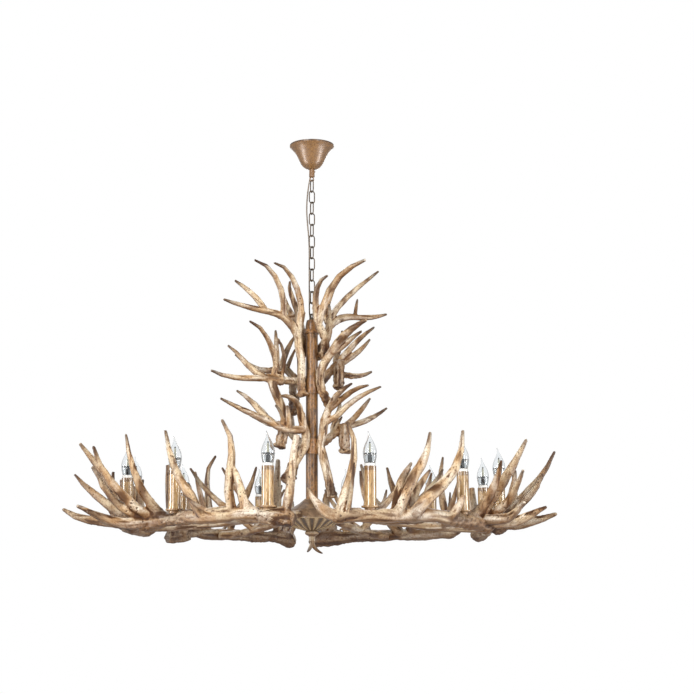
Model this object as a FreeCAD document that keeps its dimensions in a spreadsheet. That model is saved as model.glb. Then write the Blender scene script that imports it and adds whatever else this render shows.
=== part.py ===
import FreeCAD, Part
import math
import os

import Sketcher
from FreeCAD import Placement, Rotation, Vector

# A hanging light made of cast-resin antlers, for twelve candle lamps.
# Lengths are in millimetres. The ceiling plane is Z = 0 and everything hangs below it.
# The photograph was taken from the -Y side, a little below the ring of lamps.

sizes = {
    # ceiling rose
    "canopy_width": 110.0,
    "canopy_height": 62.0,
    "canopy_wall": 1.2,
    "strap_length": 92.0,
    "strap_width": 22.0,
    "strap_thickness": 2.0,
    "strap_hole_spacing": 70.0,
    "strap_hole_width": 5.5,
    "nipple_width": 9.0,
    "nipple_bore": 6.4,
    "nut_width": 16.0,
    "nut_height": 5.0,
    # loops and chain
    "collar_width": 14.0,
    "collar_height": 19.0,
    "stem_collar_height": 6.0,
    "screw_width": 3.4,
    "screw_length": 3.0,
    "eye_middle_radius": 4.9,
    "eye_wire": 2.6,
    "link_length": 34.0,
    "link_width": 17.0,
    "link_wire": 2.8,
    "link_clearance": 0.2,
    "link_count": 12,
    # stem
    "stem_width": 29.0,
    "stem_wall": 1.5,
    "rod_width": 10.0,
    "cap_height": 33.0,
    "middle_ferrule_height": 43.0,
    "lower_ferrule_height": 37.0,
    "ferrule_top_width": 31.0,
    "ferrule_foot_width": 39.0,
    "ferrule_wall": 2.5,
    "cap_top_width": 25.0,
    "upper_stem_length": 105.0,
    "middle_stem_length": 111.0,
    "lower_stem_length": 108.0,
    "socket_depth": 10.0,
    # wiring bowl under the stem
    "bowl_width": 143.0,
    "bowl_height": 50.0,
    "bowl_wall": 2.5,
    "cover_depth": 27.0,
    "cover_wall": 2.0,
    "cover_ribs": 20,
    "rib_width": 2.6,
    "rib_height": 3.0,
    "finial_collar_width": 33.0,
    "finial_neck_length": 24.0,
    "finial_prong_length": 26.0,
    "finial_width": 15.0,
    # lamps
    "lamp_circle_radius": 450.0,
    "lamp_count": 12,
    "lamp_seat_drop": 938.0,
    "pedestal_width": 24.0,
    "pedestal_height": 5.0,
    "saucer_width": 38.0,
    "saucer_thickness": 3.0,
    "saucer_lip": 2.0,
    "sleeve_width": 27.0,
    "sleeve_foot_width": 30.0,
    "sleeve_height": 87.0,
    "socket_width": 24.0,
    "socket_height": 40.0,
    "socket_rise": 6.0,
    "post_width": 10.0,
    "bulb_cap_width": 13.8,
    "bulb_cap_length": 22.0,
    "bulb_width": 30.0,
    "bulb_neck_width": 23.0,
    "bulb_height": 69.0,
    # antlers
    "antler_span": 245.0,
    "ring_drop": 947.0,
    "viewer_distance": 3200.0,
    "viewer_drop": 1127.0,
    # fits
    "seat_clearance": 0.3,
    "fit_clearance": 0.3,
    "cut_overrun": 10.0,
    # supply cord
    "cord_width": 3.4,
}


class Size:
    # A number that remembers its formula, so that sketches and solids can be bound to the sheet.
    def __init__(self, value, text):
        self.value = float(value)
        self.text = text

    def join(self, other, sign, value):
        return Size(value, "(%s %s %s)" % (self.text, sign, text_of(other)))

    def __add__(self, other):
        return self.join(other, "+", self.value + value_of(other))

    def __sub__(self, other):
        return self.join(other, "-", self.value - value_of(other))

    def __mul__(self, other):
        return self.join(other, "*", self.value * value_of(other))

    def __truediv__(self, other):
        return self.join(other, "/", self.value / value_of(other))

    def __neg__(self):
        return Size(-self.value, "(0 - %s)" % self.text)


def value_of(number):
    return number.value if isinstance(number, Size) else float(number)


def text_of(number):
    return number.text if isinstance(number, Size) else repr(float(number))


class Sheet:
    # The sizes as attributes: size.bowl_width is the cell, and its value is used where a formula can't be.
    def __init__(self, document, table):
        cells = document.addObject("Spreadsheet::Sheet", "Sizes")
        for row, (name, number) in enumerate(table.items(), start=1):
            cells.set("A%d" % row, name)
            cells.set("B%d" % row, str(number))
            cells.setAlias("B%d" % row, name)
            setattr(self, name, Size(number, "Sizes.%s" % name))


doc = FreeCAD.newDocument("chandelier")
size = Sheet(doc, sizes)
doc.recompute()
zero = size.rod_width * 0
parts = {}


# Helpers for the turned and drilled pieces

def keep(name, item):
    item.Label = name
    parts[name] = item
    return item


def bind(item, **formulas):
    for field, number in formulas.items():
        item.setExpression(field, text_of(number))
    return item


def cylinder(width, height, bottom):
    item = doc.addObject("Part::Cylinder", "Round")
    bind(item, Radius=width / 2, Height=height)
    item.setExpression("Placement.Base.z", text_of(bottom))
    return item


def cone(foot_width, top_width, height, bottom):
    item = doc.addObject("Part::Cone", "Taper")
    bind(item, Radius1=foot_width / 2, Radius2=top_width / 2, Height=height)
    item.setExpression("Placement.Base.z", text_of(bottom))
    return item


def block(length, width, height, bottom):
    item = doc.addObject("Part::Box", "Block")
    bind(item, Length=length, Width=width, Height=height)
    item.setExpression("Placement.Base.x", text_of(-length / 2))
    item.setExpression("Placement.Base.y", text_of(-width / 2))
    item.setExpression("Placement.Base.z", text_of(bottom))
    return item


def cut(base, tool):
    item = doc.addObject("Part::Cut", "Cut")
    item.Base = base
    item.Tool = tool
    return item


def fuse(items):
    item = doc.addObject("Part::MultiFuse", "Joined")
    item.Shapes = items
    return item


def feature(name, shape):
    item = doc.addObject("Part::Feature", name)
    item.Shape = shape
    return keep(name, item)


def origin_plane(body, role):
    return next(item for item in body.Origin.OriginFeatures if item.Role == role)


def arc_between(start, end, half_angle):
    # The arc bulges to the left of the way from start to end when the angle is positive.
    # It is stored the way round that a sketch wants, so the second value says if that is end to start.
    way = end - start
    left = Vector(-way.y, way.x, 0)
    half = math.radians(half_angle)
    centre = (start + end) / 2 - left * (0.5 / math.tan(half))
    radius = way.Length / 2 / abs(math.sin(half))
    first, last = (end, start) if half_angle > 0 else (start, end)
    low = math.atan2(first.y - centre.y, first.x - centre.x)
    high = math.atan2(last.y - centre.y, last.x - centre.x)
    if high < low:
        high += 2 * math.pi
    return Part.ArcOfCircle(Part.Circle(centre, Vector(0, 0, 1), radius), low, high), half_angle > 0


def pin_point(sketch, index, position, x, y):
    # Ties one end of a line or arc to its formulas, or to the axis where the formula is zero.
    for kind, axis, number in (("DistanceX", -2, x), ("DistanceY", -1, y)):
        if value_of(number) == 0:
            sketch.addConstraint(Sketcher.Constraint("PointOnObject", index, position, axis))
            continue
        held = sketch.addConstraint(Sketcher.Constraint(kind, -1, 1, index, position, value_of(number)))
        sketch.setExpression("Constraints[%d]" % held, text_of(number))


def draw_outline(sketch, outline):
    # Each corner is (radius, height) or (radius, height, half angle of the arc that leaves it).
    corners = [Vector(value_of(corner[0]), value_of(corner[1]), 0) for corner in outline]
    ends = []
    for number, corner in enumerate(outline):
        start = corners[number]
        end = corners[(number + 1) % len(corners)]
        if len(corner) == 3:
            curve, backward = arc_between(start, end, corner[2])
            index = sketch.addGeometry(curve, False)
            ends.append((index, 2, 1) if backward else (index, 1, 2))
            chord = ((outline[(number + 1) % len(outline)][0] - corner[0]),
                     (outline[(number + 1) % len(outline)][1] - corner[1]))
            radius = "sqrt(%s ^ 2 + %s ^ 2) / %r" % (
                text_of(chord[0]), text_of(chord[1]), 2 * math.sin(math.radians(abs(corner[2]))))
            held = sketch.addConstraint(Sketcher.Constraint("Radius", index, curve.Radius))
            sketch.setExpression("Constraints[%d]" % held, radius)
        else:
            index = sketch.addGeometry(Part.LineSegment(start, end), False)
            ends.append((index, 1, 2))
    for number, (index, first, last) in enumerate(ends):
        after, after_first, after_last = ends[(number + 1) % len(ends)]
        sketch.addConstraint(Sketcher.Constraint("Coincident", index, last, after, after_first))
        pin_point(sketch, index, first, outline[number][0], outline[number][1])


def outline_face(outline):
    # The same outline as a plain face in the XZ plane, for clearance shapes.
    corners = [Vector(value_of(corner[0]), value_of(corner[1]), 0) for corner in outline]
    edges = []
    for number, corner in enumerate(outline):
        start = corners[number]
        end = corners[(number + 1) % len(corners)]
        curve = arc_between(start, end, corner[2])[0] if len(corner) == 3 else Part.LineSegment(start, end)
        edges.append(curve.toShape())
    face = Part.Face(Part.Wire(Part.__sortEdges__(edges)))
    face.rotate(Vector(0, 0, 0), Vector(1, 0, 0), 90)
    return face


def turned(name, outline):
    # A body turned about the stem's axis from a closed outline.
    body = doc.addObject("PartDesign::Body", name)
    sketch = body.newObject("Sketcher::SketchObject", name + "_outline")
    sketch.AttachmentSupport = [(origin_plane(body, "XZ_Plane"), "")]
    sketch.MapMode = "FlatFace"
    draw_outline(sketch, outline)
    turn = body.newObject("PartDesign::Revolution", name + "_turned")
    turn.Profile = sketch
    turn.ReferenceAxis = (sketch, ["V_Axis"])
    turn.Angle = 360
    doc.recompute()
    return body


# Ceiling rose: strap, threaded nipple, lock nut, terminal block and bell-shaped canopy

canopy_shares = ((1.0, 0.065), (0.62, 0.53), (0.50, 0.76))


def canopy():
    radius = size.canopy_width / 2
    wall = size.canopy_wall
    floor = -size.canopy_height
    hole = size.nipple_width / 2 + size.fit_clearance
    outer = [(radius * share, floor * depth) for share, depth in canopy_shares]
    inner = [(edge[0] - wall, edge[1] + wall * 0.6) for edge in outer]
    outline = [(radius, zero), outer[0] + (-13,), outer[1], outer[2] + (24,)]
    outline += [(size.collar_width / 2, floor), (hole, floor), (hole, floor + wall)]
    outline += [(size.collar_width / 2, floor + wall, -24), inner[2], inner[1] + (13,)]
    outline += [inner[0], (radius - wall, zero)]
    return keep("canopy", turned("canopy", outline))


def ceiling_bracket():
    top = -size.strap_thickness
    strap = block(size.strap_length, size.strap_width, size.strap_thickness, top)
    tools = [cylinder(size.nipple_width + size.fit_clearance * 2, size.strap_thickness * 3, top * 2)]
    for side in (-1, 1):
        hole = cylinder(size.strap_hole_width, size.strap_thickness * 3, top * 2)
        hole.setExpression("Placement.Base.x", text_of(size.strap_hole_spacing * side / 2))
        tools.append(hole)
    return keep("ceiling_bracket", cut(strap, fuse(tools)))


def threaded_nipple():
    # The hollow threaded tube hangs from the strap and comes out through the canopy's foot.
    length = size.canopy_height + size.collar_height * 0.5
    outer = cylinder(size.nipple_width, length, -length)
    bore = cylinder(size.nipple_bore, length + size.cut_overrun * 2, -length - size.cut_overrun)
    return keep("threaded_nipple", cut(outer, bore))


def hex_nut(name, bottom):
    prism = doc.addObject("Part::Prism", "Hexagon")
    prism.Polygon = 6
    bind(prism, Circumradius=size.nut_width / 2, Height=size.nut_height)
    prism.setExpression("Placement.Base.z", text_of(bottom))
    bore = cylinder(size.nipple_width + size.fit_clearance * 2, size.nut_height * 3, bottom - size.nut_height)
    return keep(name, cut(prism, bore))


# Loops and chain

# The chain hangs a little twisted, as in the photograph: this turns its links and both loops.
chain_turn = 28.0


def eye(collar_top, collar_height, ring_centre, quarter):
    # A ring on a short round collar. The ring lies in the chain's plane, or a quarter turn from it.
    collar = cone(size.collar_width, size.collar_width * 0.92, collar_height, collar_top - collar_height)
    ring = doc.addObject("Part::Torus", "Ring")
    bind(ring, Radius1=size.eye_middle_radius, Radius2=size.eye_wire / 2)
    spin = Rotation(Vector(0, 0, 1), chain_turn + 90 * quarter) * Rotation(Vector(1, 0, 0), 90)
    ring.Placement = Placement(Vector(0, 0, value_of(ring_centre)), spin)
    ring.setExpression("Placement.Base.z", text_of(ring_centre))
    return collar, ring


eye_top_drop = size.canopy_height + size.collar_height
first_eye_centre = -(eye_top_drop + size.eye_middle_radius + size.eye_wire * 0.35)
link_middle_radius = (size.link_width - size.link_wire) / 2
link_run = size.link_length - size.link_width
link_drop = link_run + link_middle_radius * 2
link_pitch = link_drop - size.link_wire - size.link_clearance
eye_to_link = (size.eye_wire + size.link_wire) / 2 + size.link_clearance
first_link_top = first_eye_centre - size.eye_middle_radius + eye_to_link
last_link_top = first_link_top - link_pitch * (sizes["link_count"] - 1)
last_link_foot = last_link_top - link_drop
stem_eye_centre = last_link_foot + eye_to_link - size.eye_middle_radius
stem_collar_top = stem_eye_centre - size.eye_middle_radius - size.eye_wire * 0.35
stem_top = stem_collar_top - size.stem_collar_height


def canopy_loop():
    # The collar screws on to the nipple and holds the canopy up; the ring carries the chain.
    collar, ring = eye(-size.canopy_height, size.collar_height, first_eye_centre, 0)
    thread = cylinder(size.nipple_width + size.fit_clearance * 2, size.collar_height * 0.5 + size.fit_clearance,
                      -size.canopy_height - size.collar_height * 0.5 - size.fit_clearance)
    middle = -size.canopy_height - size.collar_height * 0.3
    near_end = size.collar_width / 2 - size.screw_length * 0.5 - size.fit_clearance
    hole = cylinder(size.screw_width + size.fit_clearance * 2, size.screw_length * 2, middle)
    hole.Placement = Placement(Vector(value_of(near_end), 0, value_of(middle)), Rotation(Vector(0, 1, 0), 90))
    hole.setExpression("Placement.Base.x", text_of(near_end))
    hole.setExpression("Placement.Base.z", text_of(middle))
    return keep("canopy_loop", cut(fuse([collar, ring]), fuse([thread, hole])))


def loop_screw():
    # The small screw that locks the collar on the nipple stands out on the right-hand side.
    screw = cylinder(size.screw_width, size.screw_length, zero)
    middle = -size.canopy_height - size.collar_height * 0.3
    near_end = size.collar_width / 2 - size.screw_length * 0.5
    screw.Placement = Placement(Vector(value_of(near_end), 0, value_of(middle)), Rotation(Vector(0, 1, 0), 90))
    screw.setExpression("Placement.Base.x", text_of(near_end))
    screw.setExpression("Placement.Base.z", text_of(middle))
    return keep("loop_screw", screw)


def stem_loop():
    collar, ring = eye(stem_collar_top, size.stem_collar_height, stem_eye_centre, 1)
    thread = cylinder(size.rod_width + size.fit_clearance * 2, size.stem_collar_height * 0.5,
                      stem_top)
    return keep("stem_loop", cut(fuse([collar, ring]), thread))


def chain_link():
    # One welded link, standing in the XZ plane, with its top bend's middle at the origin.
    pieces = []
    for turn_angle, height in ((0, zero), (180, -link_run)):
        bend = doc.addObject("Part::Torus", "Bend")
        bind(bend, Radius1=link_middle_radius, Radius2=size.link_wire / 2)
        bend.Angle3 = 180
        spin = Rotation(Vector(0, 1, 0), turn_angle) * Rotation(Vector(1, 0, 0), 90)
        bend.Placement = Placement(Vector(0, 0, value_of(height)), spin)
        bend.setExpression("Placement.Base.z", text_of(height))
        pieces.append(bend)
    for side in (-1, 1):
        leg = cylinder(size.link_wire, link_run, -link_run)
        leg.setExpression("Placement.Base.x", text_of(link_middle_radius * side))
        pieces.append(leg)
    return fuse(pieces)


def placed_link(number):
    top = value_of(first_link_top - link_middle_radius - link_pitch * number)
    turn_angle = 90 if number % 2 == 0 else 0
    return Placement(Vector(0, 0, top), Rotation(Vector(0, 0, 1), chain_turn + turn_angle))


def chain():
    master = chain_link()
    doc.recompute()
    count = sizes["link_count"]
    links = [master.Shape.transformed(placed_link(number).toMatrix(), True) for number in range(count)]
    feature("chain_link_first", links[0])
    feature("chain_links", Part.makeCompound(links[1:-1]))
    feature("chain_link_last", links[-1])
    return master


# Stem: a rod inside three tubes, between bell-shaped ferrules

ferrule_places = {}


def ferrule(name, top, height, top_width):
    # A bell with a flared foot; the tube below sits in its bore.
    foot = top - height
    seat = foot + size.socket_depth
    rod = size.rod_width / 2 + size.fit_clearance
    tube = size.stem_width / 2 + size.fit_clearance
    side = [
        (top_width / 2, top, 8), (top_width * 0.25 + size.ferrule_foot_width * 0.25, foot + height * 0.40, -10),
        (size.ferrule_foot_width / 2, foot + size.ferrule_wall), (size.ferrule_foot_width / 2, foot),
    ]
    ferrule_places[name] = (top, foot, side)
    return keep(name, turned(name, [(rod, top)] + side + [(tube, foot), (tube, seat), (rod, seat)]))


def stem_tube(name, top, bottom):
    outer = cylinder(size.stem_width, top - bottom, bottom)
    bore = cylinder(size.stem_width - size.stem_wall * 2, top - bottom + size.cut_overrun * 2,
                    bottom - size.cut_overrun)
    return keep(name, cut(outer, bore))


bowl_top = stem_top - size.cap_height - size.upper_stem_length - size.middle_ferrule_height
bowl_top = bowl_top - size.middle_stem_length - size.lower_ferrule_height - size.lower_stem_length
bowl_foot = bowl_top - size.bowl_height
cover_foot = bowl_foot - size.cover_depth
finial_top = cover_foot


def stem():
    top = stem_top
    levels = (("upper", size.cap_height, size.cap_top_width, size.upper_stem_length),
              ("middle", size.middle_ferrule_height, size.ferrule_top_width, size.middle_stem_length),
              ("lower", size.lower_ferrule_height, size.ferrule_top_width, size.lower_stem_length))
    for name, height, width, length in levels:
        ferrule(name + "_ferrule", top, height, width)
        foot = top - height
        stem_tube(name + "_column", foot + size.socket_depth, foot - length)
        top = foot - length


def stem_rod():
    # The threaded rod ties the loop, the tubes, the bowl and the finial together.
    top = stem_top + size.stem_collar_height * 0.5
    foot = finial_top - size.finial_neck_length * 0.4
    return keep("central_rod", cylinder(size.rod_width, top - foot, foot))


bowl_shares = ((0.24, 0.0), (0.42, 0.22), (0.76, 0.52), (1.0, 0.90), (1.0, 1.0))


def wiring_bowl():
    radius = size.bowl_width / 2
    wall = size.bowl_wall
    drop = size.bowl_height
    rod = size.rod_width / 2 + size.fit_clearance
    outer = [(radius * share, bowl_top - drop * depth) for share, depth in bowl_shares]
    inner = [(edge[0] - wall, edge[1] - wall) for edge in outer[1:3]]
    outline = [(rod, bowl_top), outer[0], outer[1], outer[2], outer[3], outer[4]]
    outline += [(radius - wall, outer[4][1]), (radius - wall, outer[3][1] - wall * 0.4)]
    outline += [inner[1], inner[0], (radius * 0.20, bowl_top - wall), (rod, bowl_top - wall)]
    return keep("wiring_bowl", turned("wiring_bowl", outline))


def bowl_cover():
    # The dished cover closes the bowl from below, with raised ribs running in to the finial.
    radius = size.bowl_width / 2 - size.bowl_wall * 0.4
    neck = size.finial_collar_width / 2 * 0.8
    rod = size.rod_width / 2 + size.fit_clearance
    wall = size.cover_wall
    middle = (radius + neck) / 2
    sag = bowl_foot - size.cover_depth * 0.62
    outline = [
        (rod, cover_foot + wall), (neck, cover_foot + wall), (middle, sag + wall), (radius - wall, bowl_foot),
        (radius, bowl_foot), (radius, bowl_foot - wall), (middle, sag), (neck, cover_foot), (rod, cover_foot),
    ]
    dish = turned("bowl_cover_dish", outline)
    doc.recompute()
    start = size.finial_collar_width / 2 + size.rib_width / 2
    start_height = cover_foot + (sag - cover_foot) * ((start - neck) / (middle - neck))
    corners = [(radius - wall, bowl_foot - wall * 0.6), (middle, sag + wall * 0.4),
               (start, start_height + wall * 0.4),
               (start, start_height - size.rib_height * 0.3), (middle, sag - size.rib_height),
               (radius - wall, bowl_foot - wall - size.rib_height * 0.5)]
    half = value_of(size.rib_width) / 2
    points = [Vector(value_of(x), -half, value_of(z)) for x, z in corners]
    rib = Part.Face(Part.makePolygon(points + points[:1])).extrude(Vector(0, half * 2, 0))
    ribs = []
    for number in range(sizes["cover_ribs"]):
        turned_rib = rib.copy()
        turned_rib.rotate(Vector(0, 0, 0), Vector(0, 0, 1), 360.0 * (number + 0.5) / sizes["cover_ribs"])
        ribs.append(turned_rib)
    return feature("bowl_cover", dish.Shape.fuse(ribs))


# Lamps: pedestal cup, sleeve, socket and bulb, twelve alike on one circle

lamp_seat = -size.lamp_seat_drop
saucer_foot = lamp_seat + size.pedestal_height
saucer_top = saucer_foot + size.saucer_thickness
sleeve_top = saucer_top + size.sleeve_height
socket_top = sleeve_top + size.socket_rise
socket_foot = socket_top - size.socket_height


def drip_cup():
    post = size.post_width / 2
    return turned("drip_cup_master", [
        (zero, lamp_seat), (size.pedestal_width / 2, lamp_seat, 12),
        (size.pedestal_width / 2, saucer_foot), (size.saucer_width / 2, saucer_top - size.saucer_thickness * 0.4),
        (size.saucer_width / 2, saucer_top + size.saucer_lip),
        (size.saucer_width / 2 - size.saucer_thickness * 0.6, saucer_top + size.saucer_lip),
        (size.saucer_width / 2 - size.saucer_thickness, saucer_top), (post, saucer_top),
        (post, socket_foot), (zero, socket_foot),
    ])


def candle_sleeve():
    bore = size.socket_width / 2 + size.fit_clearance
    return turned("candle_sleeve_master", [
        (bore, saucer_top), (size.sleeve_foot_width / 2, saucer_top, 6),
        (size.sleeve_width / 2, saucer_top + size.sleeve_height * 0.35),
        (size.sleeve_width / 2, sleeve_top), (bore, sleeve_top),
    ])


def lamp_socket():
    bore = size.bulb_cap_width / 2 + size.fit_clearance
    floor = socket_top - size.bulb_cap_length - size.fit_clearance
    return turned("lamp_socket_master", [
        (zero, socket_foot), (size.socket_width / 2, socket_foot),
        (size.socket_width / 2, socket_top), (bore, socket_top), (bore, floor), (zero, floor),
    ])


def bulb():
    # A clear candle bulb with a drawn-out tip, on a small screw cap.
    foot = socket_top - size.bulb_cap_length
    glass = socket_top + size.fit_clearance
    tip = glass + size.bulb_height
    cap = size.bulb_cap_width / 2
    belly = size.bulb_width / 2
    return turned("bulb_master", [
        (zero, foot), (cap * 0.6, foot), (cap, foot + size.bulb_cap_length * 0.15), (cap, glass),
        (size.bulb_neck_width / 2, glass, -5), (belly, glass + size.bulb_height * 0.30, -22),
        (belly * 0.52, glass + size.bulb_height * 0.66, 12), (belly * 0.11, glass + size.bulb_height * 0.96),
        (belly * 0.05, tip), (zero, tip),
    ])


ring_pair_count = 3
ring_pair_phase = -87.0
lamp_degrees = (-45.0, -15.0, 13.0, 45.0)


def lamp_place(number):
    # Each pair of ring antlers carries four lamps, at these angles from the pair's middle.
    pair, seat = divmod(number, len(lamp_degrees))
    angle = ring_pair_phase + 360.0 * pair / ring_pair_count + lamp_degrees[seat]
    radius = size.lamp_circle_radius.value
    across = Vector(radius * math.cos(math.radians(angle)), radius * math.sin(math.radians(angle)), 0)
    return Placement(across, Rotation(Vector(0, 0, 1), angle))


def lamps():
    masters = {"drip_cups": drip_cup(), "candle_sleeves": candle_sleeve(), "lamp_sockets": lamp_socket()}
    single = bulb()
    doc.recompute()
    places = [lamp_place(number) for number in range(sizes["lamp_count"])]
    for name, master in masters.items():
        feature(name, Part.makeCompound([master.Shape.transformed(place.toMatrix(), True) for place in places]))
    for number, place in enumerate(places, start=1):
        feature("bulb_%02d" % number, single.Shape.transformed(place.toMatrix(), True))


# Antlers
# A branch is a tapered, many-sided loft along a smooth line through a few points.

thickness_shares = {
    "beam": (0.044, 0.040), "tail": (0.042, 0.032), "tine": (0.034, 0.010), "thick": (0.045, 0.014),
    "spike": (0.022, 0.008), "burr": (0.060, 0.056), "palm": (0.058, 0.044), "ring": (0.060, 0.082),
    "ring_burr": (0.084, 0.070), "brow": (0.054, 0.014), "ring_tine": (0.045, 0.012), "post": (0.044, 0.030),
    "crescent": (0.054, 0.012), "spoke": (0.038, 0.046), "stub": (0.042, 0.018),
}
beam_kinds = ("beam", "tail", "ring", "spoke")
beam_sides = 8
beam_stations = 8
tine_sides = 6
tine_stations = 6
taper_power = 2.5


def smooth_line(points):
    curve = Part.BSplineCurve()
    curve.interpolate(points)
    return curve


def section_rings(points, root, tip, sides, stations):
    # Rings of corners square to the line; each ring's start carries over from the last, so nothing twists.
    curve = smooth_line(points)
    rings = []
    start = None
    for number, middle in enumerate(curve.toShape().discretize(stations)):
        way = Vector(curve.tangent(curve.parameter(middle))[0])
        if start is None:
            start = way.cross(Vector(0, 0, 1)) if abs(way.z) < 0.9 else way.cross(Vector(1, 0, 0))
        start = start - way * start.dot(way)
        start.normalize()
        up = way.cross(start)
        share = number / (stations - 1)
        radius = root + (tip - root) * share ** taper_power
        turns = [2 * math.pi * side / sides for side in range(sides)]
        rings.append([middle + start * (radius * math.cos(t)) + up * (radius * math.sin(t)) for t in turns])
    return rings


def faceted(rings):
    # Closes rings of corners with flat three-sided faces and an end cap at each end.
    faces = []
    sides = len(rings[0])
    for lower, upper in zip(rings, rings[1:]):
        for side in range(sides):
            after = (side + 1) % sides
            faces.append(Part.Face(Part.makePolygon([lower[side], lower[after], upper[after], lower[side]])))
            faces.append(Part.Face(Part.makePolygon([lower[side], upper[after], upper[side], lower[side]])))
    for ring in (rings[0], rings[-1]):
        faces.append(Part.Face(Part.makePolygon(ring + ring[:1])))
    solid = Part.Solid(Part.Shell(faces))
    if solid.Volume < 0:
        solid.reverse()
    return solid


def branch(kind, points, grown=0.0):
    root, tip = thickness_shares[kind]
    span = size.antler_span.value
    is_beam = kind in beam_kinds
    return faceted(section_rings(points, root * span + grown, tip * span + grown,
                                 beam_sides if is_beam else tine_sides, beam_stations if is_beam else tine_stations))


def joined(solids):
    return solids[0].fuse(solids[1:]) if len(solids) > 1 else solids[0]


# Crown antlers stand round the stem on three levels. A row is a kind of branch and its points:
# (to the right, away from the camera, up) from the stem's axis at that level's ferrule,
# as shares of the antler span.

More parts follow.
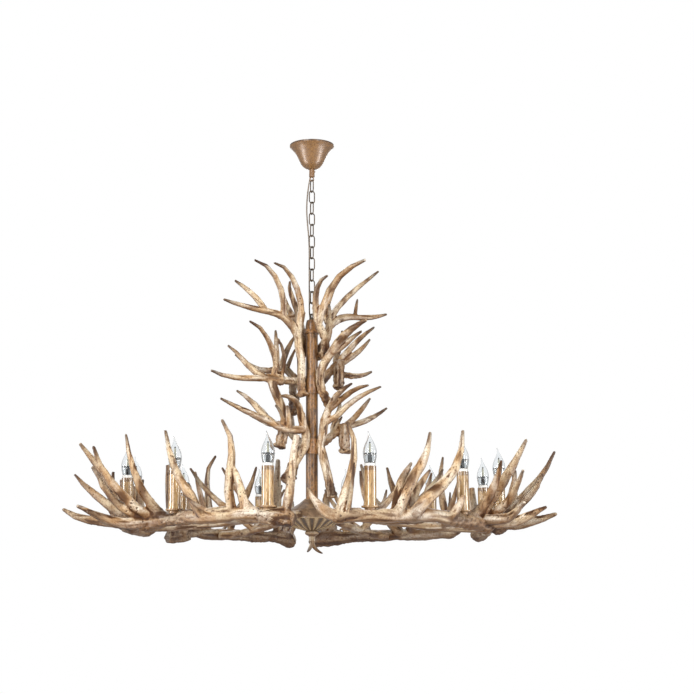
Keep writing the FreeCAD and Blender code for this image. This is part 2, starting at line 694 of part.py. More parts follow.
crown_shares = {
    "upper_front_left": ("upper", [
        ("beam", (-0.095, -0.078, -0.70), (-0.105, -0.075, -0.50), (-0.105, -0.085, -0.34), (-0.14, -0.09, -0.14),
         (-0.12, -0.10, 0.06), (-0.10, -0.11, 0.16)),
        ("tine", (-0.10, -0.11, 0.13), (-0.115, -0.13, 0.27), (-0.15, -0.18, 0.40), (-0.25, -0.28, 0.59),
         (-0.38, -0.40, 0.67)),
        ("tail", (-0.14, -0.10, -0.10), (-0.20, -0.13, 0.02), (-0.29, -0.17, 0.11), (-0.42, -0.21, 0.155)),
        ("tine", (-0.38, -0.20, 0.15), (-0.55, -0.27, 0.19), (-0.73, -0.36, 0.24), (-0.89, -0.45, 0.296)),
        ("tine", (-0.28, -0.17, 0.11), (-0.285, -0.20, 0.27), (-0.34, -0.26, 0.47), (-0.43, -0.34, 0.61),
         (-0.58, -0.44, 0.70)),
        ("tine", (-0.46, -0.22, 0.16), (-0.54, -0.20, 0.28), (-0.65, -0.16, 0.39), (-0.774, -0.10, 0.48)),
    ]),
    "upper_back_left": ("upper", [
        ("tail", (-0.060, 0.071, -0.30), (-0.08, 0.09, -0.16), (-0.11, 0.11, 0.0), (-0.15, 0.13, 0.14)),
        ("tine", (-0.13, 0.12, 0.08), (-0.18, 0.14, 0.25), (-0.22, 0.20, 0.37), (-0.22, 0.27, 0.46)),
        ("tine", (-0.14, 0.125, 0.09), (-0.30, 0.24, 0.11), (-0.46, 0.34, 0.165), (-0.62, 0.42, 0.21)),
        ("tine", (-0.12, 0.12, 0.04), (-0.20, 0.27, 0.12), (-0.27, 0.42, 0.26), (-0.31, 0.50, 0.40)),
    ]),
    "upper_front_right": ("upper", [
        ("tail", (0.090, -0.020, -0.31), (0.14, -0.06, -0.20), (0.12, -0.11, -0.08), (0.07, -0.14, 0.02),
         (0.04, -0.14, 0.14)),
        ("tine", (0.045, -0.14, 0.10), (0.035, -0.16, 0.28), (0.055, -0.23, 0.41), (0.16, -0.38, 0.54)),
        ("thick", (0.06, -0.14, 0.05), (0.12, -0.15, 0.22), (0.22, -0.19, 0.45), (0.375, -0.28, 0.61),
         (0.54, -0.40, 0.70)),
    ]),
    "upper_back_right": ("upper", [
        ("tail", (0.057, 0.068, -0.34), (0.062, 0.074, -0.25), (0.14, 0.115, -0.14), (0.17, 0.12, 0.0),
         (0.17, 0.13, 0.08)),
        ("tine", (0.17, 0.13, 0.06), (0.31, 0.18, 0.26), (0.466, 0.27, 0.404), (0.666, 0.42, 0.56)),
        ("tail", (0.165, 0.125, 0.0), (0.28, 0.19, 0.08), (0.42, 0.26, 0.10)),
        ("tine", (0.38, 0.24, 0.10), (0.556, 0.32, 0.09), (0.747, 0.40, 0.123)),
        ("spike", (0.43, 0.265, 0.10), (0.44, 0.27, 0.19), (0.456, 0.28, 0.28)),
        ("spike", (0.17, 0.125, 0.05), (0.18, 0.15, 0.15), (0.17, 0.16, 0.235)),
        ("tine", (0.16, 0.125, 0.04), (0.14, 0.27, 0.18), (0.20, 0.42, 0.34), (0.24, 0.50, 0.50)),
    ]),
    "middle_front_left": ("middle", [
        ("tail", (-0.060, 0.013, 0.025), (-0.18, 0.003, 0.04), (-0.30, -0.07, 0.05), (-0.42, -0.12, 0.07)),
        ("palm", (-0.30, -0.07, 0.05), (-0.38, -0.11, 0.06), (-0.46, -0.14, 0.08)),
        ("tine", (-0.42, -0.12, 0.07), (-0.59, -0.18, 0.07), (-0.80, -0.28, 0.085), (-1.01, -0.40, 0.155)),
        ("tine", (-0.46, -0.14, 0.08), (-0.59, -0.13, 0.155), (-0.70, -0.08, 0.27), (-0.84, -0.02, 0.40)),
        ("tine", (-0.39, -0.11, 0.06), (-0.37, -0.16, 0.31), (-0.43, -0.24, 0.45), (-0.51, -0.33, 0.575),
         (-0.624, -0.44, 0.654)),
        ("tine", (-0.355, -0.09, 0.06), (-0.35, -0.03, 0.30), (-0.363, 0.0, 0.555)),
        ("spike", (-0.31, -0.07, 0.06), (-0.28, -0.04, 0.30), (-0.334, -0.02, 0.47)),
        ("beam", (-0.40, -0.12, 0.05), (-0.345, -0.11, -0.11), (-0.29, -0.10, -0.24), (-0.265, -0.10, -0.37)),
        ("burr", (-0.26, -0.10, -0.35), (-0.29, -0.10, -0.50), (-0.324, -0.11, -0.63)),
    ]),
    "middle_back_left": ("middle", [
        ("tail", (-0.030, 0.053, -0.075), (-0.11, 0.12, -0.02), (-0.22, 0.155, 0.12), (-0.34, 0.18, 0.20)),
        ("tine", (-0.30, 0.165, 0.18), (-0.25, 0.17, 0.34), (-0.17, 0.17, 0.49)),
        ("spike", (-0.25, 0.15, 0.15), (-0.21, 0.15, 0.26), (-0.165, 0.15, 0.36)),
        ("tine", (-0.33, 0.175, 0.18), (-0.38, 0.28, 0.31), (-0.43, 0.38, 0.43), (-0.50, 0.46, 0.55)),
        ("tine", (-0.33, 0.18, 0.17), (-0.48, 0.28, 0.14), (-0.63, 0.38, 0.20), (-0.76, 0.46, 0.30)),
        ("tail", (-0.18, 0.125, 0.09), (-0.19, 0.22, 0.0), (-0.18, 0.26, -0.16)),
        ("burr", (-0.18, 0.26, -0.12), (-0.17, 0.27, -0.30)),
    ]),
    "middle_front_right": ("middle", [
        ("beam", (0.17, -0.06, -0.20), (0.115, -0.07, -0.09), (0.083, -0.064, 0.0), (0.08, -0.095, 0.11),
         (0.13, -0.13, 0.235), (0.22, -0.16, 0.36)),
        ("thick", (0.20, -0.155, 0.33), (0.31, -0.24, 0.49), (0.405, -0.34, 0.58), (0.55, -0.50, 0.67)),
        ("tine", (0.22, -0.16, 0.34), (0.31, -0.17, 0.40), (0.405, -0.21, 0.48), (0.50, -0.26, 0.55)),
        ("spike", (0.25, -0.17, 0.38), (0.32, -0.18, 0.40), (0.375, -0.16, 0.43)),
    ]),
    "middle_back_right": ("middle", [
        ("tail", (0.045, 0.050, 0.0), (0.14, 0.10, 0.08), (0.22, 0.13, 0.18), (0.30, 0.14, 0.24)),
        ("burr", (0.27, 0.12, 0.24), (0.27, 0.10, 0.10), (0.265, 0.09, -0.04)),
        ("tine", (0.27, 0.14, 0.24), (0.37, 0.19, 0.35), (0.466, 0.26, 0.45), (0.62, 0.40, 0.575)),
        ("tine", (0.28, 0.14, 0.20), (0.38, 0.18, 0.27), (0.47, 0.20, 0.34), (0.58, 0.22, 0.46)),
        ("tine", (0.27, 0.12, 0.12), (0.36, 0.15, 0.09), (0.48, 0.19, 0.09), (0.596, 0.24, 0.13)),
        ("tine", (0.25, 0.14, 0.20), (0.24, 0.27, 0.26), (0.28, 0.40, 0.38), (0.30, 0.48, 0.54)),
    ]),
    "lower_front_left": ("lower", [
        ("beam", (-0.28, -0.22, -0.35), (-0.20, -0.18, -0.22), (-0.12, -0.13, -0.08), (-0.056, -0.072, 0.05),
         (-0.08, -0.11, 0.195), (-0.11, -0.155, 0.34)),
        ("tine", (-0.105, -0.15, 0.31), (-0.15, -0.23, 0.44), (-0.22, -0.33, 0.50), (-0.32, -0.44, 0.51)),
        ("tail", (-0.08, -0.12, 0.17), (-0.17, -0.17, 0.17), (-0.28, -0.22, 0.185), (-0.40, -0.26, 0.24)),
        ("tine", (-0.38, -0.255, 0.23), (-0.56, -0.31, 0.315), (-0.74, -0.38, 0.40), (-0.913, -0.45, 0.49)),
        ("tine", (-0.40, -0.26, 0.24), (-0.48, -0.25, 0.315), (-0.60, -0.20, 0.45), (-0.75, -0.13, 0.563)),
        ("spike", (-0.29, -0.22, 0.19), (-0.305, -0.25, 0.33), (-0.364, -0.27, 0.42)),
        ("tine", (-0.22, -0.20, 0.17), (-0.235, -0.25, 0.30), (-0.245, -0.27, 0.42)),
    ]),
    "lower_back_left": ("lower", [
        ("tail", (-0.045, 0.045, 0.0), (-0.15, 0.13, 0.07), (-0.24, 0.20, 0.17), (-0.34, 0.25, 0.23)),
        ("tine", (-0.30, 0.23, 0.20), (-0.41, 0.32, 0.26), (-0.51, 0.39, 0.37), (-0.63, 0.44, 0.49)),
        ("tine", (-0.32, 0.24, 0.21), (-0.44, 0.30, 0.24), (-0.60, 0.36, 0.32), (-0.76, 0.42, 0.41)),
        ("tine", (-0.20, 0.17, 0.13), (-0.20, 0.30, 0.24), (-0.22, 0.42, 0.40)),
        ("tail", (-0.14, 0.13, 0.07), (-0.16, 0.19, -0.06), (-0.19, 0.23, -0.20)),
        ("burr", (-0.185, 0.225, -0.17), (-0.21, 0.24, -0.32)),
    ]),
    "lower_front_right": ("lower", [
        ("beam", (0.20, -0.12, -0.50), (0.16, -0.11, -0.30), (0.115, -0.085, -0.12), (0.086, -0.060, 0.0),
         (0.105, -0.085, 0.12), (0.12, -0.11, 0.24), (0.17, -0.13, 0.39)),
        ("tine", (0.16, -0.125, 0.35), (0.22, -0.22, 0.48), (0.30, -0.35, 0.57), (0.40, -0.50, 0.64)),
        ("tine", (0.16, -0.13, 0.36), (0.26, -0.18, 0.45), (0.405, -0.27, 0.56), (0.565, -0.38, 0.62)),
        ("tine", (0.13, -0.11, 0.24), (0.23, -0.15, 0.29), (0.35, -0.16, 0.41), (0.50, -0.15, 0.515),
         (0.69, -0.12, 0.603)),
    ]),
    "lower_back_right": ("lower", [
        ("tail", (0.045, 0.050, 0.0), (0.14, 0.10, 0.06), (0.25, 0.14, 0.15), (0.36, 0.17, 0.22)),
        ("burr", (0.31, 0.15, 0.22), (0.32, 0.13, 0.08), (0.33, 0.12, -0.06)),
        ("tine", (0.34, 0.165, 0.21), (0.42, 0.15, 0.285), (0.50, 0.12, 0.38), (0.58, 0.08, 0.485)),
        ("tine", (0.34, 0.165, 0.20), (0.46, 0.22, 0.23), (0.60, 0.30, 0.29), (0.74, 0.42, 0.38)),
        ("spike", (0.18, 0.12, 0.10), (0.24, 0.13, 0.20), (0.30, 0.14, 0.30)),
        ("tine", (0.22, 0.13, 0.13), (0.22, 0.26, 0.22), (0.26, 0.38, 0.34), (0.28, 0.46, 0.48)),
    ]),
}


def crown_level(level):
    top, foot, side = ferrule_places[level + "_ferrule"]
    return value_of(top + foot) / 2


def crown_points(rows, level):
    # The rows are read off the photograph, so a point nearer than the stem is drawn in towards the viewer's
    # line of sight, and one behind the stem is moved out from it.
    span = size.antler_span.value
    eye_level = -size.viewer_drop.value
    points = []
    for x, y, z in rows:
        spread = 1 + y * span / size.viewer_distance.value
        points.append(Vector(x * span * spread, y * span, eye_level + (level + z * span - eye_level) * spread))
    return points


def stem_room():
    # The stem and its ferrules, grown by the seat clearance: what the crown antlers are shaped round.
    gap = size.seat_clearance.value
    radius = size.stem_width.value / 2 + gap
    foot = bowl_top.value
    room = [Part.makeCylinder(radius, stem_top.value - foot, Vector(0, 0, foot))]
    for top, foot, side in ferrule_places.values():
        lifts = (gap, 0, 0, -gap)
        grown = [(corner[0].value + gap, corner[1].value + lift) + corner[2:] for corner, lift in zip(side, lifts)]
        face = outline_face([(0, top.value + gap)] + grown + [(0, foot.value - gap)])
        room.append(face.revolve(Vector(0, 0, 0), Vector(0, 0, 1), 360))
    return joined(room)


def crown_antlers():
    room = stem_room()
    for name, (level, rows) in crown_shares.items():
        height = crown_level(level)
        solid = joined([branch(row[0], crown_points(row[1:], height)) for row in rows])
        feature("antler_" + name, solid.cut(room))


# Ring antlers carry the lamps. Three mirrored pairs meet end to end round the lamp circle.
# A point is (degrees from the pair's middle, outwards, up), the last two as shares of the antler span.

left_ring_shares = [
    ("ring", (9.0, 0.0, 0.0), (22.0, 0.0, 0.01), (36.0, 0.0, 0.0), (48.0, 0.0, -0.01), (55.0, 0.02, -0.03)),
    ("ring_burr", (53.5, 0.02, -0.02), (55.3, 0.04, -0.06), (56.5, 0.06, -0.10)),
    ("ring_burr", (17.0, 0.0, 0.0), (12.0, 0.01, -0.03), (7.5, 0.03, -0.06)),
    ("brow", (53.5, 0.04, -0.02), (56.0, 0.20, -0.03), (57.0, 0.40, 0.0), (57.5, 0.63, 0.07)),
    ("ring_tine", (53.0, 0.04, 0.02), (55.0, 0.28, 0.20), (56.2, 0.48, 0.41), (56.5, 0.60, 0.63)),
    ("ring_tine", (54.5, 0.05, 0.0), (57.0, 0.27, 0.12), (58.0, 0.43, 0.26), (58.0, 0.52, 0.42)),
    ("ring_tine", (50.5, 0.0, 0.03), (53.0, 0.12, 0.22), (56.0, 0.20, 0.45), (57.3, 0.24, 0.77)),
    ("ring_tine", (35.0, 0.03, 0.02), (37.4, 0.09, 0.21), (40.3, 0.12, 0.37), (43.3, 0.13, 0.59),
     (44.9, 0.13, 0.77)),
    ("spike", (30.0, 0.04, 0.02), (34.0, 0.11, 0.08), (37.0, 0.15, 0.165)),
    ("ring_tine", (25.0, 0.0, 0.03), (26.0, 0.02, 0.3), (25.5, 0.02, 0.6), (28.4, 0.0, 0.845)),
    ("ring_tine", (21.0, 0.0, 0.03), (22.5, 0.02, 0.20), (25.0, 0.03, 0.42)),
    ("stub", (13.0, -0.06, 0.0), (13.2, -0.145, 0.20), (13.0, -0.15, 0.50)),
    ("post", (10.0, 0.0, 0.02), (8.6, 0.01, 0.25), (7.8, 0.0, 0.5), (7.2, 0.0, 0.71)),
]
right_ring_shares = [
    ("ring", (4.0, 0.0, 0.0), (18.0, 0.0, 0.0), (32.0, 0.0, 0.01), (46.0, 0.0, -0.01), (55.0, 0.02, -0.03)),
    ("crescent", (7.0, 0.0, 0.0), (1.0, 0.0, 0.02), (-2.0, 0.0, 0.09), (-4.4, 0.0, 0.215)),
    ("ring_burr", (53.5, 0.02, -0.02), (55.3, 0.04, -0.05), (56.5, 0.05, -0.09)),
    ("brow", (54.0, 0.04, -0.02), (56.0, 0.25, -0.02), (57.0, 0.45, 0.04), (57.5, 0.61, 0.11)),
    ("brow", (52.5, 0.04, -0.01), (51.5, 0.25, 0.0), (49.0, 0.45, 0.03), (47.0, 0.62, 0.11)),
    ("brow", (52.0, 0.02, 0.02), (52.8, 0.20, 0.27), (52.3, 0.38, 0.52), (52.0, 0.52, 0.72)),
    ("ring_tine", (54.0, 0.04, 0.0), (53.5, 0.25, 0.12), (51.0, 0.42, 0.27), (49.0, 0.55, 0.43)),
    ("ring_tine", (50.0, 0.0, 0.02), (50.0, 0.16, 0.20), (48.5, 0.29, 0.38), (47.0, 0.37, 0.52)),
    ("stub", (38.0, 0.03, 0.0), (39.0, 0.10, 0.10), (40.5, 0.13, 0.20)),
    ("brow", (25.5, 0.03, 0.02), (31.6, 0.11, 0.21), (36.7, 0.13, 0.39), (40.0, 0.13, 0.62), (40.9, 0.12, 0.79)),
    ("ring_tine", (25.0, -0.04, 0.02), (30.0, -0.12, 0.20), (36.0, -0.12, 0.43)),
    ("brow", (20.5, 0.02, 0.02), (25.0, 0.03, 0.25), (29.0, 0.03, 0.5), (31.0, 0.03, 0.75)),
    ("ring_tine", (20.0, -0.02, 0.02), (23.0, -0.06, 0.22), (27.0, -0.05, 0.47)),
    ("spike", (7.0, 0.03, 0.02), (7.2, 0.09, 0.25), (7.6, 0.12, 0.44)),
    ("ring_tine", (4.6, 0.0, 0.02), (7.0, 0.0, 0.28), (8.6, 0.0, 0.58), (7.0, 0.0, 0.81)),
]
# The moulds at the two sides of the ring have their tall tines cut down.
tall_tine_share = 0.70
side_tine_share = 0.62
side_antlers = (3, 6)


def trimmed(rows):
    shorter = []
    for row in rows:
        points = row[1:]
        tall = points[-1][2] >= tall_tine_share and points[-1][1] < 0.5
        height = side_tine_share if tall else 1.0
        shorter.append(row[:1] + tuple((degrees, out, up * height) for degrees, out, up in points))
    return shorter


def ring_points(rows, middle, side):
    span = size.antler_span.value
    points = []
    for degrees, out, up in rows:
        angle = math.radians(middle + side * degrees)
        radius = size.lamp_circle_radius.value + out * span
        points.append(Vector(radius * math.cos(angle), radius * math.sin(angle), up * span - size.ring_drop.value))
    return points


def ring_branches(rows, middle, side, grown=0.0):
    return [branch(row[0], ring_points(row[1:], middle, side), grown) for row in rows]


def lamp_room():
    # Flat seats for the lamps' pedestals, and the room above them that the cups and sleeves need.
    width = size.saucer_width.value + size.saucer_thickness.value * 2
    height = size.sleeve_height.value
    seats = []
    for number in range(sizes["lamp_count"]):
        seat = Part.makeCylinder(width / 2, height, Vector(0, 0, lamp_seat.value))
        seats.append(seat.transformed(lamp_place(number).toMatrix(), True))
    return seats


def near(seats, solid):
    return [seat for seat in seats if seat.BoundBox.intersect(solid.BoundBox)]


spoke_shares = [
    ("spoke", (0.13, 0.0, 0.11), (0.45, 0.0, 0.04), (0.75, 0.0, -0.01), (0.99, 0.0, -0.01)),
    ("tine", (0.70, 0.0, 0.0), (0.72, 0.24, 0.13), (0.74, 0.42, 0.30), (0.757, 0.55, 0.48)),
    ("tine", (0.55, 0.0, 0.02), (0.58, 0.16, 0.20), (0.62, 0.36, 0.50)),
    ("tine", (0.60, 0.0, 0.02), (0.64, -0.18, 0.20), (0.66, -0.26, 0.44)),
]


def spoke_points(rows, angle, side):
    # A spoke's point is (share of the lamp circle's radius, sideways and up as shares of the antler span).
    span = size.antler_span.value
    out = Vector(math.cos(math.radians(angle)), math.sin(math.radians(angle)), 0)
    across = Vector(-out.y, out.x, 0) * side
    points = []
    for reach, sideways, up in rows:
        level = Vector(0, 0, up * span - size.ring_drop.value)
        points.append(out * (reach * size.lamp_circle_radius.value) + across * (sideways * span) + level)
    return points


def bowl_room():
    gap = size.seat_clearance.value
    radius = size.bowl_width.value / 2
    corners = [Vector(0, 0, bowl_top.value + gap)]
    for share, depth in bowl_shares:
        corners.append(Vector(radius * share + gap, 0, bowl_top.value - size.bowl_height.value * depth + gap))
    corners.append(Vector(radius + gap, 0, bowl_foot.value - size.cover_depth.value))
    corners.append(Vector(0, 0, bowl_foot.value - size.cover_depth.value))
    face = Part.Face(Part.makePolygon(corners + corners[:1]))
    return face.revolve(Vector(0, 0, 0), Vector(0, 0, 1), 360)


def ring_antlers():
    seats = lamp_room()
    bowl = bowl_room()
    number = 0
    for pair in range(ring_pair_count):
        middle = ring_pair_phase + 360.0 * pair / ring_pair_count
        for rows, side in ((left_ring_shares, -1), (right_ring_shares, 1)):
            number += 1
            shape_rows = trimmed(rows) if number in side_antlers else rows
            solid = joined(ring_branches(shape_rows, middle, side))
            feature("antler_ring_%d" % number, solid.cut(near(seats, solid)))
            angle = middle + side * 180.0 / (ring_pair_count * 2)
            spoke = joined([branch(row[0], spoke_points(row[1:], angle, side)) for row in spoke_shares])
            room = ring_branches(rows[:1], middle, side, size.seat_clearance.value)
            feature("antler_spoke_%d" % number, spoke.cut(room + [bowl]))


# Finial: a turned neck and two prongs like a small antler fork

finial_shares = [
    ((0.0, 0.0, -0.35), (0.02, 0.0, 0.1), (0.02, 0.0, 0.30)),
    ((0.02, 0.0, 0.12), (-0.12, -0.06, 0.55), (-0.42, -0.16, 1.0)),
    ((0.02, 0.0, 0.12), (0.22, 0.06, 0.55), (0.98, 0.16, 1.12)),
]


def finial():
    top = finial_top
    foot = top - size.finial_neck_length
    rod = size.rod_width / 2 + size.fit_clearance
    bore = top - size.finial_neck_length * 0.4 - size.fit_clearance
    neck = turned("finial_neck", [
        (rod, top), (size.finial_collar_width * 0.40, top),
        (size.finial_collar_width / 2, top - size.finial_neck_length * 0.12),
        (size.finial_collar_width / 2, top - size.finial_neck_length * 0.30),
        (size.finial_width / 2, top - size.finial_neck_length * 0.5), (size.finial_width * 0.44, foot),
        (zero, foot), (zero, bore), (rod, bore),
    ])
    doc.recompute()
    length = size.finial_prong_length.value
    width = size.finial_width.value
    prongs = []
    for rows in finial_shares:
        points = [Vector(x * length, y * length, foot.value - z * length) for x, y, z in rows]
        tip = width * 0.08 if len(prongs) else width * 0.30
        prongs.append(faceted(section_rings(points, width * 0.33, tip, tine_sides, tine_stations)))
    return feature("finial", neck.Shape.fuse(prongs))


# Supply cord: straight runs joined by tangent arcs, from the collar down beside the chain

# Sideways and away from the viewer as shares of a link's width, down as a share of the hanging length.
cord_route_shares = [
    (-0.235, 0.115, 0.0), (-0.31, 0.10, 0.02), (-0.49, 0.13, 0.064), (-0.70, 0.18, 0.148), (-0.78, 0.20, 0.244),
    (-0.62, 0.18, 0.345), (-0.42, 0.125, 0.445), (-0.37, 0.11, 0.563), (-0.39, 0.13, 0.698), (-0.365, 0.11, 0.826),
    (-0.37, 0.105, 0.927), (-0.33, 0.10, 0.978), (-0.26, 0.062, 1.0),
]
cord_arc_share = 0.45


def cord_corner(before, corner, after):
    # The largest arc that the shorter of the two runs allows.
    back = before - corner
    ahead = after - corner
    reach = cord_arc_share * min(back.Length, ahead.Length)
    turn_angle = math.pi - back.getAngle(ahead)
    radius = reach / math.tan(turn_angle / 2)
    back.normalize()
    ahead.normalize()
    start = corner + back * reach
    end = corner + ahead * reach
    inward = back + ahead
    inward.normalize()
    middle = corner + inward * (math.hypot(radius, reach) - radius)
    return start, middle, end, radius


def cord_path(points):
    edges = []
    radii = []
    last = points[0]
    for before, corner, after in zip(points, points[1:], points[2:]):
        start, middle, end, radius = cord_corner(before, corner, after)
        edges.append(Part.LineSegment(last, start).toShape())
        edges.append(Part.Arc(start, middle, end).toShape())
        radii.append(radius)
        last = end
    edges.append(Part.LineSegment(last, points[-1]).toShape())
    return Part.Wire(edges), radii


def supply_cord():
    top = -value_of(eye_top_drop)
    drop = top - stem_collar_top.value
    across = size.link_width.value
    points = [Vector(x * across, y * across, top - z * drop) for x, y, z in cord_route_shares]
    path, radii = cord_path(points)
    radius = size.cord_width.value / 2
    way = points[1] - points[0]
    ring = Part.Wire(Part.Circle(points[0], way, radius).toShape())
    tube = path.makePipeShell([ring], True, False)
    share = tube.Volume / (math.pi * radius ** 2 * path.Length)
    print("cord: length", round(path.Length, 1), "volume share", round(share, 4), "radii", [round(r) for r in radii])
    return feature("supply_cord", tube.cut([parts["canopy_loop"].Shape, parts["stem_loop"].Shape]))


def print_joint_heights():
    print("hinges:", [round(value_of(height), 3) for height in (
        first_eye_centre - size.eye_middle_radius, first_link_top - link_drop,
        last_link_top + link_pitch - link_drop, last_link_foot)])
    print("stem:", [round(value_of(height), 2) for height in (
        stem_collar_top, stem_top, bowl_top, bowl_foot, finial_top)])
    print("lamps:", [round(value_of(height), 2) for height in (lamp_seat, saucer_top, sleeve_top, socket_top)])


def check_states():
    faults = [item.Name for item in doc.Objects if {"Invalid", "Error"} & set(item.State)]
    for name, item in parts.items():
        if item.Shape.isNull() or not item.Shape.isValid():
            faults.append(name)
    if faults:
        raise RuntimeError("Not sound: " + ", ".join(faults))


def write_parts():
    os.makedirs("parts", exist_ok=True)
    for name, item in parts.items():
        item.Shape.exportStep(os.path.join("parts", name + ".step"))
        print(name, len(item.Shape.Solids), "solids", len(item.Shape.Faces), "faces", round(item.Shape.Volume))


canopy()
ceiling_bracket()
threaded_nipple()
hex_nut("lock_nut", -size.strap_thickness - size.nut_height)
canopy_loop()
loop_screw()
chain()
stem_loop()
stem()
stem_rod()
wiring_bowl()
bowl_cover()
finial()
lamps()
doc.recompute()
crown_antlers()
ring_antlers()
supply_cord()
doc.recompute()
print_joint_heights()
check_states()
write_parts()
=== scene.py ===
import bpy, bmesh, math
import numpy as np
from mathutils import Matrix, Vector, noise
from mathutils.bvhtree import BVHTree


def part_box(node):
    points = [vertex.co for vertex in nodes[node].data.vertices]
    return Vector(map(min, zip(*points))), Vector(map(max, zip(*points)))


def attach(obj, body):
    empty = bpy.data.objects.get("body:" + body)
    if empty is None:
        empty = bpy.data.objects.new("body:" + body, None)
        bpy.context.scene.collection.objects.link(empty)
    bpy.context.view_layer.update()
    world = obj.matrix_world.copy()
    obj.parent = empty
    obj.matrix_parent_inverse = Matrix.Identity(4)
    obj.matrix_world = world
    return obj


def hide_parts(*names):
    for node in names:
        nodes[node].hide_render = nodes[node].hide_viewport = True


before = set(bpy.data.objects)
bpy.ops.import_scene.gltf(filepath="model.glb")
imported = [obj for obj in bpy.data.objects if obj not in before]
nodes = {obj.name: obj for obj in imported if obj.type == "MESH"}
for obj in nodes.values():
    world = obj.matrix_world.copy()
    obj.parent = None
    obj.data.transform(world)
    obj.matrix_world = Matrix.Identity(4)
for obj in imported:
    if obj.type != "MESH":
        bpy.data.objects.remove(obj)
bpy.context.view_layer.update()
scene = bpy.context.scene
mm = 0.001


# Camera: the photograph looks slightly up at the ring from about eye height

cameraView = {
    "place": (0.0008, -3.7225, -1.158),
    "pitch": 8.594,  # degrees above the horizon
    "focalPixels": 1545.9,
    "imagePixels": 694,
    "sensorMm": 36.0,
    "shift": (0.0501, 0.05),
    "clip": (0.05, 60.0),
}


def placeCamera(view):
    data = bpy.data.cameras.new("photoCamera")
    data.sensor_width = view["sensorMm"]
    data.lens = view["focalPixels"] / view["imagePixels"] * data.sensor_width
    data.shift_x, data.shift_y = view["shift"]
    data.clip_start, data.clip_end = view["clip"]
    camera = bpy.data.objects.new("photoCamera", data)
    camera.location = view["place"]
    camera.rotation_euler = (math.radians(90 + view["pitch"]), 0, 0)
    scene.collection.objects.link(camera)
    scene.camera = camera


placeCamera(cameraView)


# Small helpers for nodes and pieces

def tint(code):
    # sRGB hex to the linear colour that the shaders want
    values = [int(code[i:i + 2], 16) / 255 for i in (1, 3, 5)]
    return (*[v / 12.92 if v <= 0.04045 else ((v + 0.055) / 1.055) ** 2.4 for v in values], 1.0)


def addNode(tree, kind, inputs=None, output=0, **settings):
    # sets up a shader node, links or fills its inputs and gives back one of its outputs
    node = tree.nodes.new("ShaderNode" + kind)
    for name, value in settings.items():
        setattr(node, name, value)
    for name, value in (inputs or {}).items():
        if isinstance(value, bpy.types.NodeSocket):
            tree.links.new(value, node.inputs[name])
        else:
            node.inputs[name].default_value = tint(value) if isinstance(value, str) else value
    return node.outputs[output] if len(node.outputs) else None


def blankMaterial(name):
    material = bpy.data.materials.new(name)
    material.use_nodes = True
    material.node_tree.nodes.clear()
    return material, material.node_tree


def finishMaterial(tree, inputs):
    addNode(tree, "OutputMaterial", {"Surface": addNode(tree, "BsdfPrincipled", inputs)})


def paintOver(tree, under, shade, value, low, high, amount=1.0):
    # a shade over the colour under it: none where the value is low, the given amount where it is high
    cover = addNode(tree, "MapRange", {"Value": value, "From Min": low, "From Max": high, "To Max": amount},
                    interpolation_type="SMOOTHSTEP")
    return addNode(tree, "Mix", {0: cover, 6: under, 7: shade}, 2, data_type="RGBA")


def grain(tree, sizeMm, detail=3.0, roughness=0.55, upward=1.0, offset=0.0):
    # blotches about sizeMm across on the real piece; upward below 1 draws them out along the height
    place = addNode(tree, "TexCoord", output="Object")
    scale = [share / (sizeMm * mm) for share in (1, 1, upward)]
    place = addNode(tree, "Mapping", {"Vector": place, "Scale": scale, "Location": (offset, offset, offset)})
    return addNode(tree, "TexNoise", {"Vector": place, "Scale": 1.0, "Detail": detail, "Roughness": roughness})


def newPiece(name, mesh, body, material, slotName, *replaced):
    piece = bpy.data.objects.new(name, mesh)
    scene.collection.objects.link(piece)
    mesh.materials.append(material)
    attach(piece, body)
    if replaced:
        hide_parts(*replaced)
    return piece


def dress(material, *names):
    # a better material on CAD nodes whose shape is right as it is
    for name in names:
        slots = nodes[name].material_slots
        for slot in slots:
            slot.material = material
        if not slots:
            nodes[name].data.materials.append(material)


# Antlers: polyresin cast in an antler mould, painted cream, then stained brown and wiped. The stain stays in the
# grooves, pits and crooks and on the tips, and the ridges are rubbed pale: a dry, streaky bone colour with dark
# lines and dots. Painted shade darkens the undersides, adds to the stain in the crooks and darkens shaded antlers.

antlerFinish = {
    "bone": "#F5EBDA", "pale": "#E3CEAC", "mid": "#C9A67C", "brown": "#7D5127", "dark": "#371C08", "tip": "#38200C",
    "patchMm": 48, "mottleMm": 13, "fineMm": 2.6, "speckleMm": 4.6,
    "fibreMm": 5.0, "hairMm": 1.7,  # fibres are 0.3 mm on a real antler, drawn coarser so that they show
    "cellMm": 4.2,
    "roughness": (0.42, 0.62), "specular": 0.25, "gritMm": 0.35,
}


